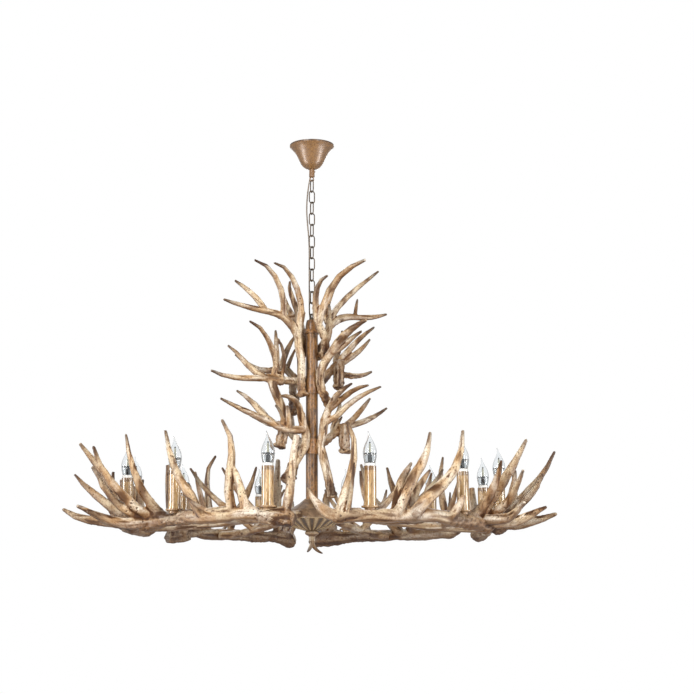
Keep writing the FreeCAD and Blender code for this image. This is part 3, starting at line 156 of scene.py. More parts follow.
def stainedResin(name, finish):
    material, tree = blankMaterial(name)
    names = ("flute", "streak", "sideStain", "hollow", "crook", "girth", "cork", "paintedShade", "under")
    flute, streak, sideStain, hollow, crook, girth, cork, paintedShade, under = [
        addNode(tree, "Attribute", output="Fac", attribute_name=n, attribute_type="GEOMETRY") for n in names]
    patches = grain(tree, finish["patchMm"])
    mottle = grain(tree, finish["mottleMm"], 4.0, offset=3.0)
    fine = grain(tree, finish["fineMm"], offset=7.0)
    speckle = grain(tree, finish["speckleMm"], 4.0, 0.7, offset=11.0)
    along = addNode(tree, "Attribute", output="Vector", attribute_name="grainPlace", attribute_type="GEOMETRY")
    fibre, hair = [addNode(tree, "TexNoise", {"Vector": along, "Scale": 1 / (finish[size] * mm), "Detail": 3.0})
                   for size in ("fibreMm", "hairMm")]
    layers = (
        # what the paint follows, from and to which value it grows, how much of it, its colour
        (flute, 0.46, 0.15, 0.70, "bone"), (sideStain, 0.44, 0.15, 0.50, "bone"),
        (sideStain, 0.52, 0.84, 0.50, "brown"), (mottle, 0.50, 0.70, 0.45, "brown"),
        (flute, 0.52, 0.90, 0.80, "brown"), (streak, 0.56, 0.85, 0.55, "brown"),
        # painted shade: the under layers darken the undersides; the crook layers are partly stain and partly painted
        # shade
        (under, 0.44, 0.90, 0.70, "brown"), (cork, 0.0, 1.0, 0.40, "brown"),
        (crook, 0.0, 0.52, 0.95, "brown"), (speckle, 0.51, 0.68, 0.70, "brown"),
        (streak, 0.72, 0.95, 0.55, "dark"), (girth, 0.40, 0.14, 0.85, "tip"),
        (crook, 0.24, 0.78, 0.85, "dark"), (under, 0.66, 1.0, 0.40, "dark"),
        (hollow, 0.10, 0.70, 0.90, "dark"), (fibre, 0.52, 0.70, 0.60, "brown"),
        (fibre, 0.62, 0.80, 0.65, "dark"), (hair, 0.54, 0.74, 0.50, "brown"),
        (flute, 0.62, 0.92, 0.65, "dark"), (sideStain, 0.70, 0.98, 0.55, "dark"),
    )
    colour = paintOver(tree, finish["pale"], finish["mid"], patches, 0.40, 0.62)
    for value, low, high, amount, shade in layers:
        colour = paintOver(tree, colour, finish[shade], value, low, high, amount)
    place = addNode(tree, "TexCoord", output="Object")
    cells = addNode(tree, "TexVoronoi", {"Vector": place, "Scale": 1 / (finish["cellMm"] * mm)})
    for value, low, high, amount in ((cells, 0.34, 0.12, 0.8), (flute, 0.46, 0.72, 0.75)):
        corky = addNode(tree, "Math", {0: cork, 1: amount}, operation="MULTIPLY")
        colour = paintOver(tree, colour, finish["dark"], value, low, high, corky)
    # painted shade: the whole antler is darkened towards the dark colour by this value
    colour = addNode(tree, "Mix", {0: paintedShade, 6: colour, 7: finish["dark"]}, 2, data_type="RGBA")
    least, most = finish["roughness"]
    rough = addNode(tree, "MapRange", {"Value": mottle, "To Min": least, "To Max": most})
    grit = addNode(tree, "Math", {0: fine, 1: hair}, operation="SUBTRACT")
    uneven = addNode(tree, "Bump", {"Height": grit, "Distance": finish["gritMm"] * mm, "Strength": 0.5})
    finishMaterial(tree, {"Base Color": colour, "Roughness": rough, "IOR": 1.5,
                          "Specular IOR Level": finish["specular"], "Normal": uneven})
    return material


antlerResin = stainedResin("stainedPolyresin", antlerFinish)


# Plated or painted small metal: a blotchy coat with darker specks where it pooled or wore, dull to satin

chainFinish = {"pale": "#5E4B33", "mid": "#36291B", "dark": "#15100A", "blotchMm": 6, "metallic": 0.3,
               "roughness": (0.34, 0.5), "depthMm": 0.15}  # welded steel dipped in bronze-brown paint
cupFinish = {"pale": "#B08D62", "mid": "#7D5A37", "dark": "#432C18", "blotchMm": 11, "metallic": 0.0,
             "roughness": (0.34, 0.5), "depthMm": 0.15}  # pressed steel saucer, brown paint sponged on
zincFinish = {"pale": "#B9B8B2", "mid": "#A3A29C", "dark": "#7C7B76", "blotchMm": 4, "metallic": 1.0,
              "roughness": (0.34, 0.5), "depthMm": 0.03}  # barrel-plated steel, faint grey spangle
nickelFinish = {"pale": "#C9CBCD", "mid": "#A9ABAE", "dark": "#77797C", "blotchMm": 5, "metallic": 1.0,
                "roughness": (0.34, 0.5), "depthMm": 0.02}  # pressed brass lamp cap, nickel plated


def mottledMetal(name, finish):
    material, tree = blankMaterial(name)
    patches = grain(tree, finish["blotchMm"], 4.0)
    specks = grain(tree, finish["blotchMm"] * 0.22, offset=5.0)
    colour = paintOver(tree, finish["mid"], finish["pale"], patches, 0.38, 0.64)
    colour = paintOver(tree, colour, finish["dark"], specks, 0.52, 0.72, 0.7)
    least, most = finish["roughness"]
    rough = addNode(tree, "MapRange", {"Value": specks, "To Min": least, "To Max": most})
    uneven = addNode(tree, "Bump", {"Height": specks, "Distance": finish["depthMm"] * mm, "Strength": 0.4})
    finishMaterial(tree, {"Base Color": colour, "Roughness": rough, "Metallic": finish["metallic"], "Normal": uneven})
    return material


chainPaint = mottledMetal("bronzePaintedSteel", chainFinish)
cupPaint = mottledMetal("brownPaintedSteel", cupFinish)
zincPlate = mottledMetal("zincPlatedSteel", zincFinish)
capNickel = mottledMetal("nickelPlatedBrass", nickelFinish)


# Moulded plastic: one colour with a very slight mottle and the soft sheen of the mould

socketFinish = {"colour": "#F0EEE8", "roughness": 0.35}  # white polyester socket
sheathFinish = {"colour": "#7C6B58", "roughness": 0.45}  # brown PVC cord, extruded, dull
coreFinish = {"colour": "#4A4A4C", "roughness": 0.28}  # grey polycarbonate core in the bulb
postFinish = {"colour": "#C9C4A8", "roughness": 0.4}  # yellowish silicone over the light strip


def mouldedPlastic(name, finish):
    material, tree = blankMaterial(name)
    mottle = grain(tree, 3.0, 2.0)
    faint = addNode(tree, "Math", {0: mottle, 1: 0.25}, operation="MULTIPLY")
    colour = addNode(tree, "Mix", {0: faint, 6: finish["colour"], 7: "#808080"}, 2, data_type="RGBA")
    uneven = addNode(tree, "Bump", {"Height": mottle, "Distance": 0.05 * mm, "Strength": 0.3})
    finishMaterial(tree, {"Base Color": colour, "Roughness": finish["roughness"], "IOR": 1.5, "Normal": uneven})
    return material


socketPlastic = mouldedPlastic("whitePolyester", socketFinish)
cordSheath = mouldedPlastic("brownPvc", sheathFinish)
coreGrey = mouldedPlastic("greyPolycarbonate", coreFinish)
ledPost = mouldedPlastic("yellowSilicone", postFinish)


# Blown glass and clear moulded cup: thin and clear, with painted shade greying it where the wall is seen edge-on

# edge: painted shade for the dark outline of the glass wall
glassFinish = {"clear": "#F6F8F9", "edge": "#202326", "span": (0.36, 0.84)}  # soda-lime glass
cupGlassFinish = {"clear": "#EEF0F1", "edge": "#4A4E52", "span": (0.45, 0.95)}  # clear polycarbonate


def clearWall(name, finish):
    material, tree = blankMaterial(name)
    facing = addNode(tree, "LayerWeight", {"Blend": 0.35}, "Facing")
    # painted shade: the colour turns to the edge colour where the wall is seen edge-on, for the dark refraction there
    colour = paintOver(tree, finish["clear"], finish["edge"], facing, *finish["span"])
    ripple = addNode(tree, "Bump", {"Height": grain(tree, 12, 1.0), "Distance": 0.05 * mm, "Strength": 0.2})
    finishMaterial(tree, {"Base Color": colour, "Roughness": 0.0, "IOR": 1.45, "Transmission Weight": 1.0,
                          "Normal": ripple})
    return material


bulbGlass = clearWall("sodaLimeGlass", glassFinish)
cupGlass = clearWall("clearPolycarbonate", cupGlassFinish)


# Brushed paint: stain dragged down by brush over a lighter coat, under clear lacquer, so it is streaked and
# catches soft upright lights. A band is (from height, to height, amount, colour), in metres.

columnTops = [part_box(level + "_column")[1].z for level in ("upper", "middle", "lower")]
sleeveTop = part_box("candle_sleeves")[1].z
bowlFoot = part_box("wiring_bowl")[0].z
stemFinish = {  # steel tube, bark-brown paint, with painted shadow as a dark band under each ferrule
    "pale": "#8F6433", "mid": "#5C3C1B", "dark": "#201207", "grainMm": 9, "upward": 0.30, "roughness": 0.45,
    "coat": 0.15, "coatRoughness": 0.12, "depthMm": 0.2,
    # painted shadow: a dark band on each column just under its ferrule
    "bands": [(top - 7 * mm, top + 1 * mm, 1.0, "dark") for top in columnTops],
}
ferruleFinish = {  # spun steel bell, warmer brown paint
    "pale": "#96693A", "mid": "#6A4725", "dark": "#2E1B0C", "grainMm": 14, "upward": 0.4, "roughness": 0.42,
    "coat": 0.25, "coatRoughness": 0.12, "depthMm": 0.2, "bands": (),
}
bowlFinish = {  # spun steel, grey-brown paint, with a pale line along the foot
    "pale": "#8C7052", "mid": "#6C523A", "dark": "#3F2D1C", "line": "#A48C69", "grainMm": 22, "upward": 0.6,
    "roughness": 0.4, "coat": 0.3, "coatRoughness": 0.12, "depthMm": 0.2,
    "bands": ((bowlFoot - 2 * mm, bowlFoot + 2 * mm, 1.0, "line"),),
}
sleeveFinish = {  # resin tube, glossy lacquer, dark stain along the top
    "pale": "#C6A473", "mid": "#9A7443", "dark": "#5C3C1D", "band": "#553619", "grainMm": 8, "upward": 0.14,
    "roughness": 0.24, "coat": 1.0, "coatRoughness": 0.12, "depthMm": 0.2,
    "bands": ((sleeveTop - 9.5 * mm, sleeveTop + 2 * mm, 0.85, "band"),),
}
canopyFinish = {  # spun steel, golden-brown satin paint that lies even, dark at the cut rim
    "pale": "#8A6130", "mid": "#7A5326", "dark": "#64421C", "rim": "#3A2410", "grainMm": 9, "upward": 1.0,
    "roughness": 0.42, "coat": 0.35, "coatRoughness": 0.28, "depthMm": 0.006,
    "bands": ((-3.4 * mm, 1 * mm, 1.0, "rim"),),
}
bandEdgeMm = 0.8


def brushedPaint(name, finish):
    material, tree = blankMaterial(name)
    upward = finish["upward"]
    drag = grain(tree, finish["grainMm"], 4.0, upward=upward)
    fine = grain(tree, finish["grainMm"] * 0.3, 4.0, upward=upward * 1.6, offset=4.0)
    specks = grain(tree, 2.4, offset=8.0)
    colour = paintOver(tree, finish["pale"], finish["mid"], drag, 0.40, 0.62)
    colour = paintOver(tree, colour, finish["dark"], fine, 0.48, 0.68, 0.75)
    height = addNode(tree, "SeparateXYZ", {0: addNode(tree, "TexCoord", output="Object")}, "Z")
    edge = bandEdgeMm * mm
    for low, high, amount, shade in finish["bands"]:
        above = addNode(tree, "MapRange", {"Value": height, "From Min": low - edge, "From Max": low + edge,
                                           "To Max": amount}, interpolation_type="SMOOTHSTEP")
        inside = addNode(tree, "MapRange", {"Value": height, "From Min": high + edge, "From Max": high - edge,
                                            "To Max": above}, interpolation_type="SMOOTHSTEP")
        colour = paintOver(tree, colour, finish[shade], specks, 0.30, 0.56, inside)
    uneven = addNode(tree, "Bump", {"Height": fine, "Distance": finish["depthMm"] * mm, "Strength": 0.5})
    finishMaterial(tree, {"Base Color": colour, "Roughness": finish["roughness"], "IOR": 1.5,
                          "Coat Weight": finish["coat"], "Coat Roughness": finish["coatRoughness"],
                          "Normal": uneven})
    return material


stemPaint = brushedPaint("barkBrownSteel", stemFinish)
ferrulePaint = brushedPaint("warmBrownSteel", ferruleFinish)
bowlPaint = brushedPaint("greyBrownSteel", bowlFinish)
sleeveLacquer = brushedPaint("lacqueredResin", sleeveFinish)
canopyPaint = brushedPaint("goldenBrownSteel", canopyFinish)


# Bowl cover: cast resin with radial ribs, dark stain left between them and rubbed off their tops, so pale lines
# fan out over a dark, speckled ground

coverFinish = {"pale": "#B59A74", "mid": "#86663F", "dark": "#402A15", "ribs": 20.0}


def ribbedResin(name, finish):
    material, tree = blankMaterial(name)
    place = addNode(tree, "TexCoord", output="Object")
    across, away = [addNode(tree, "SeparateXYZ", {0: place}, side) for side in "XY"]
    angle = addNode(tree, "Math", {0: away, 1: across}, operation="ARCTAN2")
    turns = addNode(tree, "Math", {0: angle, 1: finish["ribs"]}, operation="MULTIPLY")
    wave = addNode(tree, "Math", {0: turns}, operation="COSINE")  # -1 on a rib, 1 between two
    mottle = grain(tree, 5)
    specks = grain(tree, 3.2, 4.0, 0.7, offset=5.0)
    colour = paintOver(tree, finish["mid"], finish["pale"], wave, -0.25, -0.8)
    colour = paintOver(tree, colour, finish["dark"], wave, -0.1, 0.7)
    colour = paintOver(tree, colour, finish["mid"], mottle, 0.5, 0.7, 0.5)
    colour = paintOver(tree, colour, finish["dark"], specks, 0.50, 0.62, 0.75)
    uneven = addNode(tree, "Bump", {"Height": mottle, "Distance": 0.2 * mm, "Strength": 0.5})
    finishMaterial(tree, {"Base Color": colour, "Roughness": 0.5, "IOR": 1.5, "Normal": uneven})
    return material


coverPaint = ribbedResin("ribbedPolyresin", coverFinish)
print("materials ready")


# Cast pieces: the CAD form is rounded, then fluted, lumped and pitted as the casting is

crownSkin = {
    "voxelMm": 1.9, "roundPasses": 22,
    "swellMm": 0.4, "tipSwellMm": 0.8,  # gives back what the rounding took
    "lumpMm": 34, "lumpDepthMm": 1.2,  # long swellings of the beam
    "fluteDepthMm": 0.6, "flutePasses": 240,
    "knobMm": 8.0, "knobDepthMm": 2.0, "knobGirthMm": (26, 34),  # knobs grow on what is thicker than this
    "pitMm": 4.6, "pitDepthMm": 1.2,
    "cellMm": 5.5, "cellDepthMm": 0.9,
    "leastEndMm": 9.0, "endPasses": 14, "rimMm": 2.4,  # cut ends: least radius, wear, burr
    "wanderMm": 0.0, "corkReach": 2.6, "crookMm": 1.5,
    "paintedShade": 0.0, "beamPaintedShade": 0.0,  # painted shade: extra darkness of the piece and of its thick beam
}
ringSkin = dict(crownSkin, voxelMm=2.3, knobGirthMm=(48, 60), knobDepthMm=1.4, lumpMm=52, lumpDepthMm=4.6,
                fluteDepthMm=0.8, leastEndMm=13.5, endPasses=60, rimMm=0.0, wanderMm=8.0, beamPaintedShade=0.26,
                pitDepthMm=1.9, corkReach=1.7, crookMm=1.9)
spokeSkin = dict(crownSkin, knobGirthMm=(28, 36), lumpDepthMm=1.5, endPasses=30, rimMm=0.0, paintedShade=0.16)
finialSkin = dict(crownSkin, voxelMm=1.2, paintedShade=0.12)
# painted shade: extra darkness for whole antlers
shadedAntlerDarkness = {
    # antlers that the photograph shows in the shade of others
    "antler_ring_3": 0.25, "antler_ring_4": 0.35, "antler_ring_5": 0.35, "antler_ring_6": 0.2,
    "antler_upper_back_left": 0.2, "antler_middle_back_left": 0.3, "antler_lower_back_left": 0.2,
    "antler_middle_back_right": 0.2, "antler_lower_back_right": 0.15,
}


def meshArrays(mesh):
    places = np.empty(len(mesh.vertices) * 3)
    mesh.vertices.foreach_get("co", places)
    normals = np.empty(len(mesh.vertices) * 3, np.float32)
    mesh.vertices.foreach_get("normal", normals)
    ends = np.empty(len(mesh.edges) * 2, np.int32)
    mesh.edges.foreach_get("vertices", ends)
    return places.reshape(-1, 3), normals.reshape(-1, 3).astype(float), ends.reshape(-1, 2)


def neighbourMean(values, ends, weights):
    # each vertex gets the weighted mean of its neighbours
    a, b = ends[:, 0], ends[:, 1]
    count = len(values)
    total = np.bincount(a, weights, count) + np.bincount(b, weights, count) + 1e-12
    columns = values.reshape(count, -1)
    means = [(np.bincount(a, weights * c[b], count) + np.bincount(b, weights * c[a], count)) / total
             for c in columns.T]
    return np.stack(means, 1).reshape(values.shape)


def blurred(values, ends, passes, keep, weights=None):
    # every pass keeps this share of a value and takes the rest from its neighbours
    weights = np.ones(len(ends)) if weights is None else weights
    for _ in range(passes):
        values = keep * values + (1 - keep) * neighbourMean(values, ends, weights)
    return values


def setPlaces(mesh, places):
    mesh.vertices.foreach_set("co", places.astype(np.float32).ravel())
    mesh.update()


def storeValues(mesh, name, values):
    layer = mesh.attributes.new(name, "FLOAT", "POINT")
    layer.data.foreach_set("value", np.clip(values, 0, 1).astype(np.float32))


def wallThickness(mesh, places, normals, farthest=0.04, reach=0.06, skip=0.0003):
    # how thick the piece is under each vertex, straight through, in metres
    tree = BVHTree.FromPolygons([v.co for v in mesh.vertices], [p.vertices for p in mesh.polygons])
    thickness = np.full(len(places), farthest)
    for i, (place, normal) in enumerate(zip(places, normals)):
        direction = Vector(-normal)
        distance = tree.ray_cast(Vector(place) + direction * skip, direction, reach)[3]
        if distance is not None:
            thickness[i] = distance + skip
    return thickness


def lengthDirection(normals, ends):
    # the way a branch runs is the way in which its normals never point
    tensor = np.einsum("ni,nj->nij", normals, normals).reshape(-1, 9)
    tensor = blurred(tensor, ends, 40, 0.5)
    return np.linalg.eigh(tensor.reshape(-1, 3, 3))[1][:, :, 0]


def flutes(places, direction, ends, seed, passes, blurPasses):
    # random values drawn out along the branch, so that they lie as long grooves and ridges
    along = places[ends[:, 1]] - places[ends[:, 0]]
    along /= np.linalg.norm(along, axis=1, keepdims=True) + 1e-12
    first, second = direction[ends[:, 0]], direction[ends[:, 1]]
    run = first + second * np.sign(np.einsum("ni,ni->n", first, second))[:, None]
    run /= np.linalg.norm(run, axis=1, keepdims=True) + 1e-12
    weights = np.abs(np.einsum("ni,ni->n", along, run)) ** 8 + 0.006
    values = np.random.default_rng(seed).normal(size=len(places))
    values = blurred(values, ends, blurPasses, 0.4)
    values = blurred(values, ends, passes, 0.3, weights)
    return (values - values.mean()) / (values.std() + 1e-9)


def concavity(places, normals, ends):
    # how deep a vertex lies in a crook between branches, in mm
    return np.einsum("ni,ni->n", blurred(places, ends, 26, 0.4) - places, normals) / mm


def cutEnds(node, leastMm):
    # the flat round ends of a CAD antler: middle, outward way and radius of each
    bm = bmesh.new()
    bm.from_mesh(nodes[node].data)
    bmesh.ops.remove_doubles(bm, verts=bm.verts, dist=1e-6)
    bmesh.ops.dissolve_limit(bm, angle_limit=math.radians(0.6), verts=bm.verts, edges=bm.edges)
    found = []
    for face in bm.faces:
        middle = face.calc_center_median()
        reach = [(vert.co - middle).length for vert in face.verts]
        if len(reach) >= 5 and min(reach) > 0.8 * max(reach) and min(reach) > leastMm * mm:
            found.append((np.array(middle), np.array(face.normal), max(reach)))
    bm.free()
    return found


bulbNodes = ["bulb_%02d" % number for number in range(1, 13)]
lampPlaces = np.array([((low.x + high.x) / 2, (low.y + high.y) / 2) for low, high in map(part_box, bulbNodes)])
driftSeed = 1
noise.seed_set(driftSeed)  # without it noise_vector drifts differently in every run


def wander(places, depth, stillRadius=0.045, wave=0.12):
    # a beam is never quite straight; it stays put under its lamps
    away = np.min(np.linalg.norm(places[:, None, :2] - lampPlaces[None], axis=2), axis=1)
    free = 1 - np.exp(-(away / stillRadius) ** 2)
    drift = np.array([noise.noise_vector(Vector(place) / wave) for place in places])
    return places + drift * (depth * free)[:, None]


def roundedCopy(node, voxelMm):
    bm = bmesh.new()
    bm.from_mesh(nodes[node].data)
    bmesh.ops.remove_doubles(bm, verts=bm.verts, dist=1e-6)
    mesh = bpy.data.meshes.new(node + "_form")
    bm.to_mesh(mesh)
    bm.free()
    holder = bpy.data.objects.new(node + "_form", mesh)
    scene.collection.objects.link(holder)
    remesh = holder.modifiers.new("remesh", "REMESH")
    remesh.mode = "VOXEL"
    remesh.voxel_size = voxelMm * mm
    result = bpy.data.meshes.new_from_object(holder.evaluated_get(bpy.context.evaluated_depsgraph_get()))
    bpy.data.objects.remove(holder)
    bpy.data.meshes.remove(mesh)
    return result


def nearCuts(places, cuts, corkReach):
    # shares from 0 to 1: corky skin by a cut end, the burr round it and the worn cut itself
    cork, rim, worn = [np.zeros(len(places)) for _ in range(3)]
    for middle, way, radius in cuts:
        offset = places - middle
        near = np.linalg.norm(offset, axis=1) / radius
        height = offset @ way / mm
        worn = np.maximum(worn, np.clip(1.7 - near, 0, 1))
        cork = np.maximum(cork, np.clip(2.0 - near / corkReach, 0, 1))
        rim = np.maximum(rim, np.exp(-((height + 5) / 4.5) ** 2) * (near < 2.2))
    return cork, rim, worn


def noiseValues(places, skin, cork):
    # lumps, knobs, pits, pitted patches and cells, each as noise on the place
    lump, knob, pit, patch, cell = [np.zeros(len(places)) for _ in range(5)]
    for i, place in enumerate(places):
        at = Vector(place)
        lump[i] = noise.fractal(at / (skin["lumpMm"] * mm), 1.0, 2.0, 3)
        pit[i] = noise.noise(at / (skin["pitMm"] * mm))
        patch[i] = noise.noise(at / 0.045 + Vector((9, 9, 9)))
        if cork[i] > 0.02:
            knob[i] = noise.noise(at / (skin["knobMm"] * mm)) * 1.6
            cell[i] = noise.voronoi(at / (skin["cellMm"] * mm))[0][0]
    return lump, knob, pit, patch, cell


def carve(mesh, skin, seed, cuts):
    places, normals, ends = meshArrays(mesh)
    even = np.ones(len(ends))
    thickness = blurred(wallThickness(mesh, places, normals), ends, 4, 0.5)
    soft = np.clip((thickness - 0.003) / 0.008, 0.08, 1)[:, None]  # thin tips are hardly smoothed
    for _ in range(skin["roundPasses"]):
        places = places + 0.5 * soft * (neighbourMean(places, ends, even) - places)
        places = places - 0.48 * soft * (neighbourMean(places, ends, even) - places)
    cork, rim, worn = nearCuts(places, cuts, skin["corkReach"])
    for _ in range(skin["endPasses"]):
        places = places + 0.5 * worn[:, None] * (neighbourMean(places, ends, even) - places)
    if skin["wanderMm"]:
        places = wander(places, skin["wanderMm"] * mm)
    setPlaces(mesh, places)

    places, normals, ends = meshArrays(mesh)
    crook = concavity(places, normals, ends)
    direction = lengthDirection(normals, ends)
    groove = flutes(places, direction, ends, seed, skin["flutePasses"], 3)
    fineGroove = flutes(places, direction, ends, seed + 50, skin["flutePasses"] // 3, 1)
    sideStain = flutes(places, direction, ends, seed + 90, skin["flutePasses"], 16)
    girthLow, girthHigh = skin["knobGirthMm"]
    cork = np.maximum(cork, np.clip((thickness / mm - girthLow) / (girthHigh - girthLow), 0, 1))
    lump, knob, pit, patch, cell = noiseValues(places, skin, cork)

    slim = np.clip(thickness / 0.018, 0.12, 1)
    stout = np.clip((thickness - 0.014) / 0.022, 0.12, 1)
    thin = np.clip(1 - thickness / 0.012, 0, 1)
    pitted = np.clip(patch * 2.0 + 0.25, 0, 1) * slim
    detail = (groove * 0.6 + fineGroove * 0.25) * skin["fluteDepthMm"] * slim * (1 - 0.6 * cork)
    detail -= np.clip(pit - 0.28, 0, 1) * 2.2 * skin["pitDepthMm"] * pitted
    detail -= np.clip(0.45 - cell, 0, 1) * (2.2 * skin["cellDepthMm"]) * cork
    detail += knob * skin["knobDepthMm"] * cork
    swell = skin["swellMm"] * slim + skin["tipSwellMm"] * thin
    rise = (detail + lump * skin["lumpDepthMm"] * stout + swell + skin["rimMm"] * rim * (0.7 + knob)) * mm
    setPlaces(mesh, places + normals * rise[:, None])

    beam = np.clip((thickness - 0.026) / 0.012, 0, 1)
    stored = {
        # what the paint reads, all from 0 to 1
        "hollow": (blurred(detail, ends, 10, 0.4) - detail) * (1.2 - 0.6 * cork),
        "flute": 0.5 - groove * 0.2,
        "streak": 0.5 - fineGroove * 0.18 * (1 - 0.6 * cork),
        "sideStain": 0.5 + sideStain * 0.2,
        # the paint darkens crooks: partly stain that gathers there, partly painted shade between branches
        "crook": crook / skin["crookMm"],
        "girth": thickness / 0.03,
        "cork": cork,
        # painted shade: 1 on faces that point down, so the paint darkens the undersides
        "under": 0.5 - 0.5 * meshArrays(mesh)[1][:, 2],
        # painted shade for the whole piece, and more on its thick beam
        "paintedShade": skin["paintedShade"] + skin["beamPaintedShade"] * beam,
    }
    for name, values in stored.items():
        storeValues(mesh, name, values)
    fromMiddle = places - places.mean(0)
    drawn = fromMiddle - direction * np.einsum("ni,ni->n", fromMiddle, direction)[:, None] * 0.9
    layer = mesh.attributes.new("grainPlace", "FLOAT_VECTOR", "POINT")
    layer.data.foreach_set("vector", drawn.astype(np.float32).ravel())
    mesh.polygons.foreach_set("use_smooth", np.ones(len(mesh.polygons), bool))


def castPiece(node, skin, seed):
    mesh = roundedCopy(node, skin["voxelMm"])
    carve(mesh, skin, seed, cutEnds(node, skin["leastEndMm"]))
    mesh.materials.clear()
    print("carved", node, len(mesh.polygons))
    newPiece(node + "_cast", mesh, "fixture", antlerResin, "antler_resin", node)


for seed, node in enumerate(sorted(name for name in nodes if name.startswith("antler_"))):
    skin = ringSkin if "_ring_" in node else spokeSkin if "_spoke_" in node else crownSkin
    castPiece(node, dict(skin, paintedShade=skin["paintedShade"] + shadedAntlerDarkness.get(node, 0.0)), seed)
castPiece("finial", finialSkin, 77)
print("antlers carved")


# Lamps: twelve clear candle bulbs; the sleeves, cups and sockets keep their CAD form

bulbForm = {
    # outlines as radius and height above the glass foot, in mm
    "glass": ((9.8, 0.0), (11.6, 0.8), (12.6, 5.0), (14.1, 12.0), (15.0, 19.0), (14.9, 25.0), (13.6, 32.0),
              (11.2, 39.0), (8.3, 45.5), (5.4, 51.5), (3.2, 57.0), (1.9, 62.0), (1.2, 66.0), (0.6, 68.6)),
    "cap": ((4.2, -21.8), (6.9, -18.5), (6.9, -0.6), (9.4, 0.2), (9.4, 0.8)),
    "core": ((4.6, 0.9), (4.8, 2.0), (4.8, 19.0), (4.0, 20.4)),
    "post": ((1.9, 20.5), (2.1, 21.0), (2.1, 41.0), (1.4, 42.4)),
    "bead": ((0.4, 42.4), (1.9, 43.4), (1.9, 45.0), (0.4, 46.0)),
    "cup": ((8.6, 0.9), (10.6, 3.0), (12.2, 9.0), (13.4, 17.0), (13.7, 21.0)),
    "heightMm": 69,
    "glassWallMm": 0.8, "cupWallMm": 0.5,
    "leanFromMm": 44, "leanShare": 0.006,  # the drawn-out tip bends to the left
    "steps": 40, "coreSteps": 24, "postSteps": 16,
}


def spunMesh(name, outlineMm, steps, centre, leanShare=0.0, capped=True):
    bm = bmesh.new()
    line = [bm.verts.new((r * mm, 0, z * mm)) for r, z in outlineMm]
    if capped:
        foot, top = [bm.verts.new((0, 0, z * mm)) for z in (outlineMm[0][1], outlineMm[-1][1])]
        line = [foot] + line + [top]
    edges = [bm.edges.new(pair) for pair in zip(line, line[1:])]
    bmesh.ops.spin(bm, geom=line + edges, cent=(0, 0, 0), axis=(0, 0, 1), angle=2 * math.pi, steps=steps,
                   use_merge=True)
    bmesh.ops.remove_doubles(bm, verts=bm.verts, dist=1e-6)
    bmesh.ops.recalc_face_normals(bm, faces=bm.faces)
    for vert in bm.verts if leanShare else ():
        rise = max(0.0, vert.co.z / mm - bulbForm["leanFromMm"])
        vert.co.x -= leanShare * rise * rise * mm
    bmesh.ops.translate(bm, verts=bm.verts, vec=centre)
    for face in bm.faces:
        face.smooth = True
    mesh = bpy.data.meshes.new(name)
    bm.to_mesh(mesh)
    bm.free()
    return mesh


def thicken(piece, wallMm):
    wall = piece.modifiers.new("wall", "SOLIDIFY")
    wall.thickness = wallMm * mm


def lampBulb(node, form):
    low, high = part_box(node)
    centre = Vector(((low.x + high.x) / 2, (low.y + high.y) / 2, high.z - form["heightMm"] * mm))
    glass = spunMesh(node + "_glass", form["glass"], form["steps"], centre, form["leanShare"])
    thicken(newPiece(node + "_glass", glass, node, bulbGlass, "bulb_glass", node), form["glassWallMm"])
    inner = (("cap", "steps", capNickel), ("core", "coreSteps", coreGrey), ("post", "postSteps", ledPost),
             ("bead", "postSteps", coreGrey))
    for name, steps, material in inner:
        mesh = spunMesh(node + "_" + name, form[name], form[steps], centre)
        newPiece(mesh.name, mesh, node, material, "bulb_glass")
    cup = spunMesh(node + "_cup", form["cup"], form["steps"], centre, capped=False)
    thicken(newPiece(node + "_cup", cup, node, cupGlass, "bulb_glass"), form["cupWallMm"])


for node in bulbNodes:
    lampBulb(node, bulbForm)
print("bulbs made")


# Supply cord: hangs beside the chain from the collar down to the stem

cordRoute = {
    "acrossMm": 17.0,
    "topMm": -81.01,
    "dropMm": 357.01,
    "widthMm": 3.4,
    "lengthMm": 358.0,
    # sideways and away from the viewer in link widths, down as a share of the drop
    "shares": ((-0.235, 0.115, 0.0), (-0.31, 0.10, 0.02), (-0.49, 0.13, 0.064), (-0.70, 0.18, 0.148),
               (-0.78, 0.20, 0.244), (-0.62, 0.18, 0.345), (-0.42, 0.125, 0.445), (-0.37, 0.11, 0.563),
               (-0.39, 0.13, 0.698), (-0.365, 0.11, 0.826), (-0.37, 0.105, 0.927), (-0.33, 0.10, 0.978),
               (-0.26, 0.062, 1.0)),
}


def hangingCord(route):
    curve = bpy.data.curves.new("supplyCord", "CURVE")
    curve.dimensions = "3D"
    curve.bevel_depth = route["widthMm"] * mm / 2
    curve.bevel_resolution = 3
    curve.use_fill_caps = True
    spline = curve.splines.new("NURBS")
    places = [Vector((x * route["acrossMm"], y * route["acrossMm"], route["topMm"] - z * route["dropMm"])) * mm
              for x, y, z in route["shares"]]
    spline.points.add(len(places) - 1)
    for point, place in zip(spline.points, places):
        point.co = (*place, 1.0)
    spline.order_u = 3
    spline.use_endpoint_u = True
    spline.resolution_u = 10
    piece = bpy.data.objects.new("supplyCord", curve)
    scene.collection.objects.link(piece)
    curve.materials.append(cordSheath)
    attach(piece, "chain")
    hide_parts("supply_cord")


hangingCord(cordRoute)


# CAD nodes that keep their shape

dress(canopyPaint, "canopy", "canopy_loop", "loop_screw")
dress(zincPlate, "ceiling_bracket", "threaded_nipple", "lock_nut", "central_rod")
dress(chainPaint, "chain_link_first", "chain_links", "chain_link_last", "stem_loop")
dress(stemPaint, "upper_column", "middle_column", "lower_column")
dress(ferrulePaint, "upper_ferrule", "middle_ferrule", "lower_ferrule")
dress(bowlPaint, "wiring_bowl")
dress(coverPaint, "bowl_cover")
dress(cupPaint, "drip_cups")
dress(sleeveLacquer, "candle_sleeves")
dress(socketPlastic, "lamp_sockets")
print("nodes dressed")


# Floor, light and backdrop

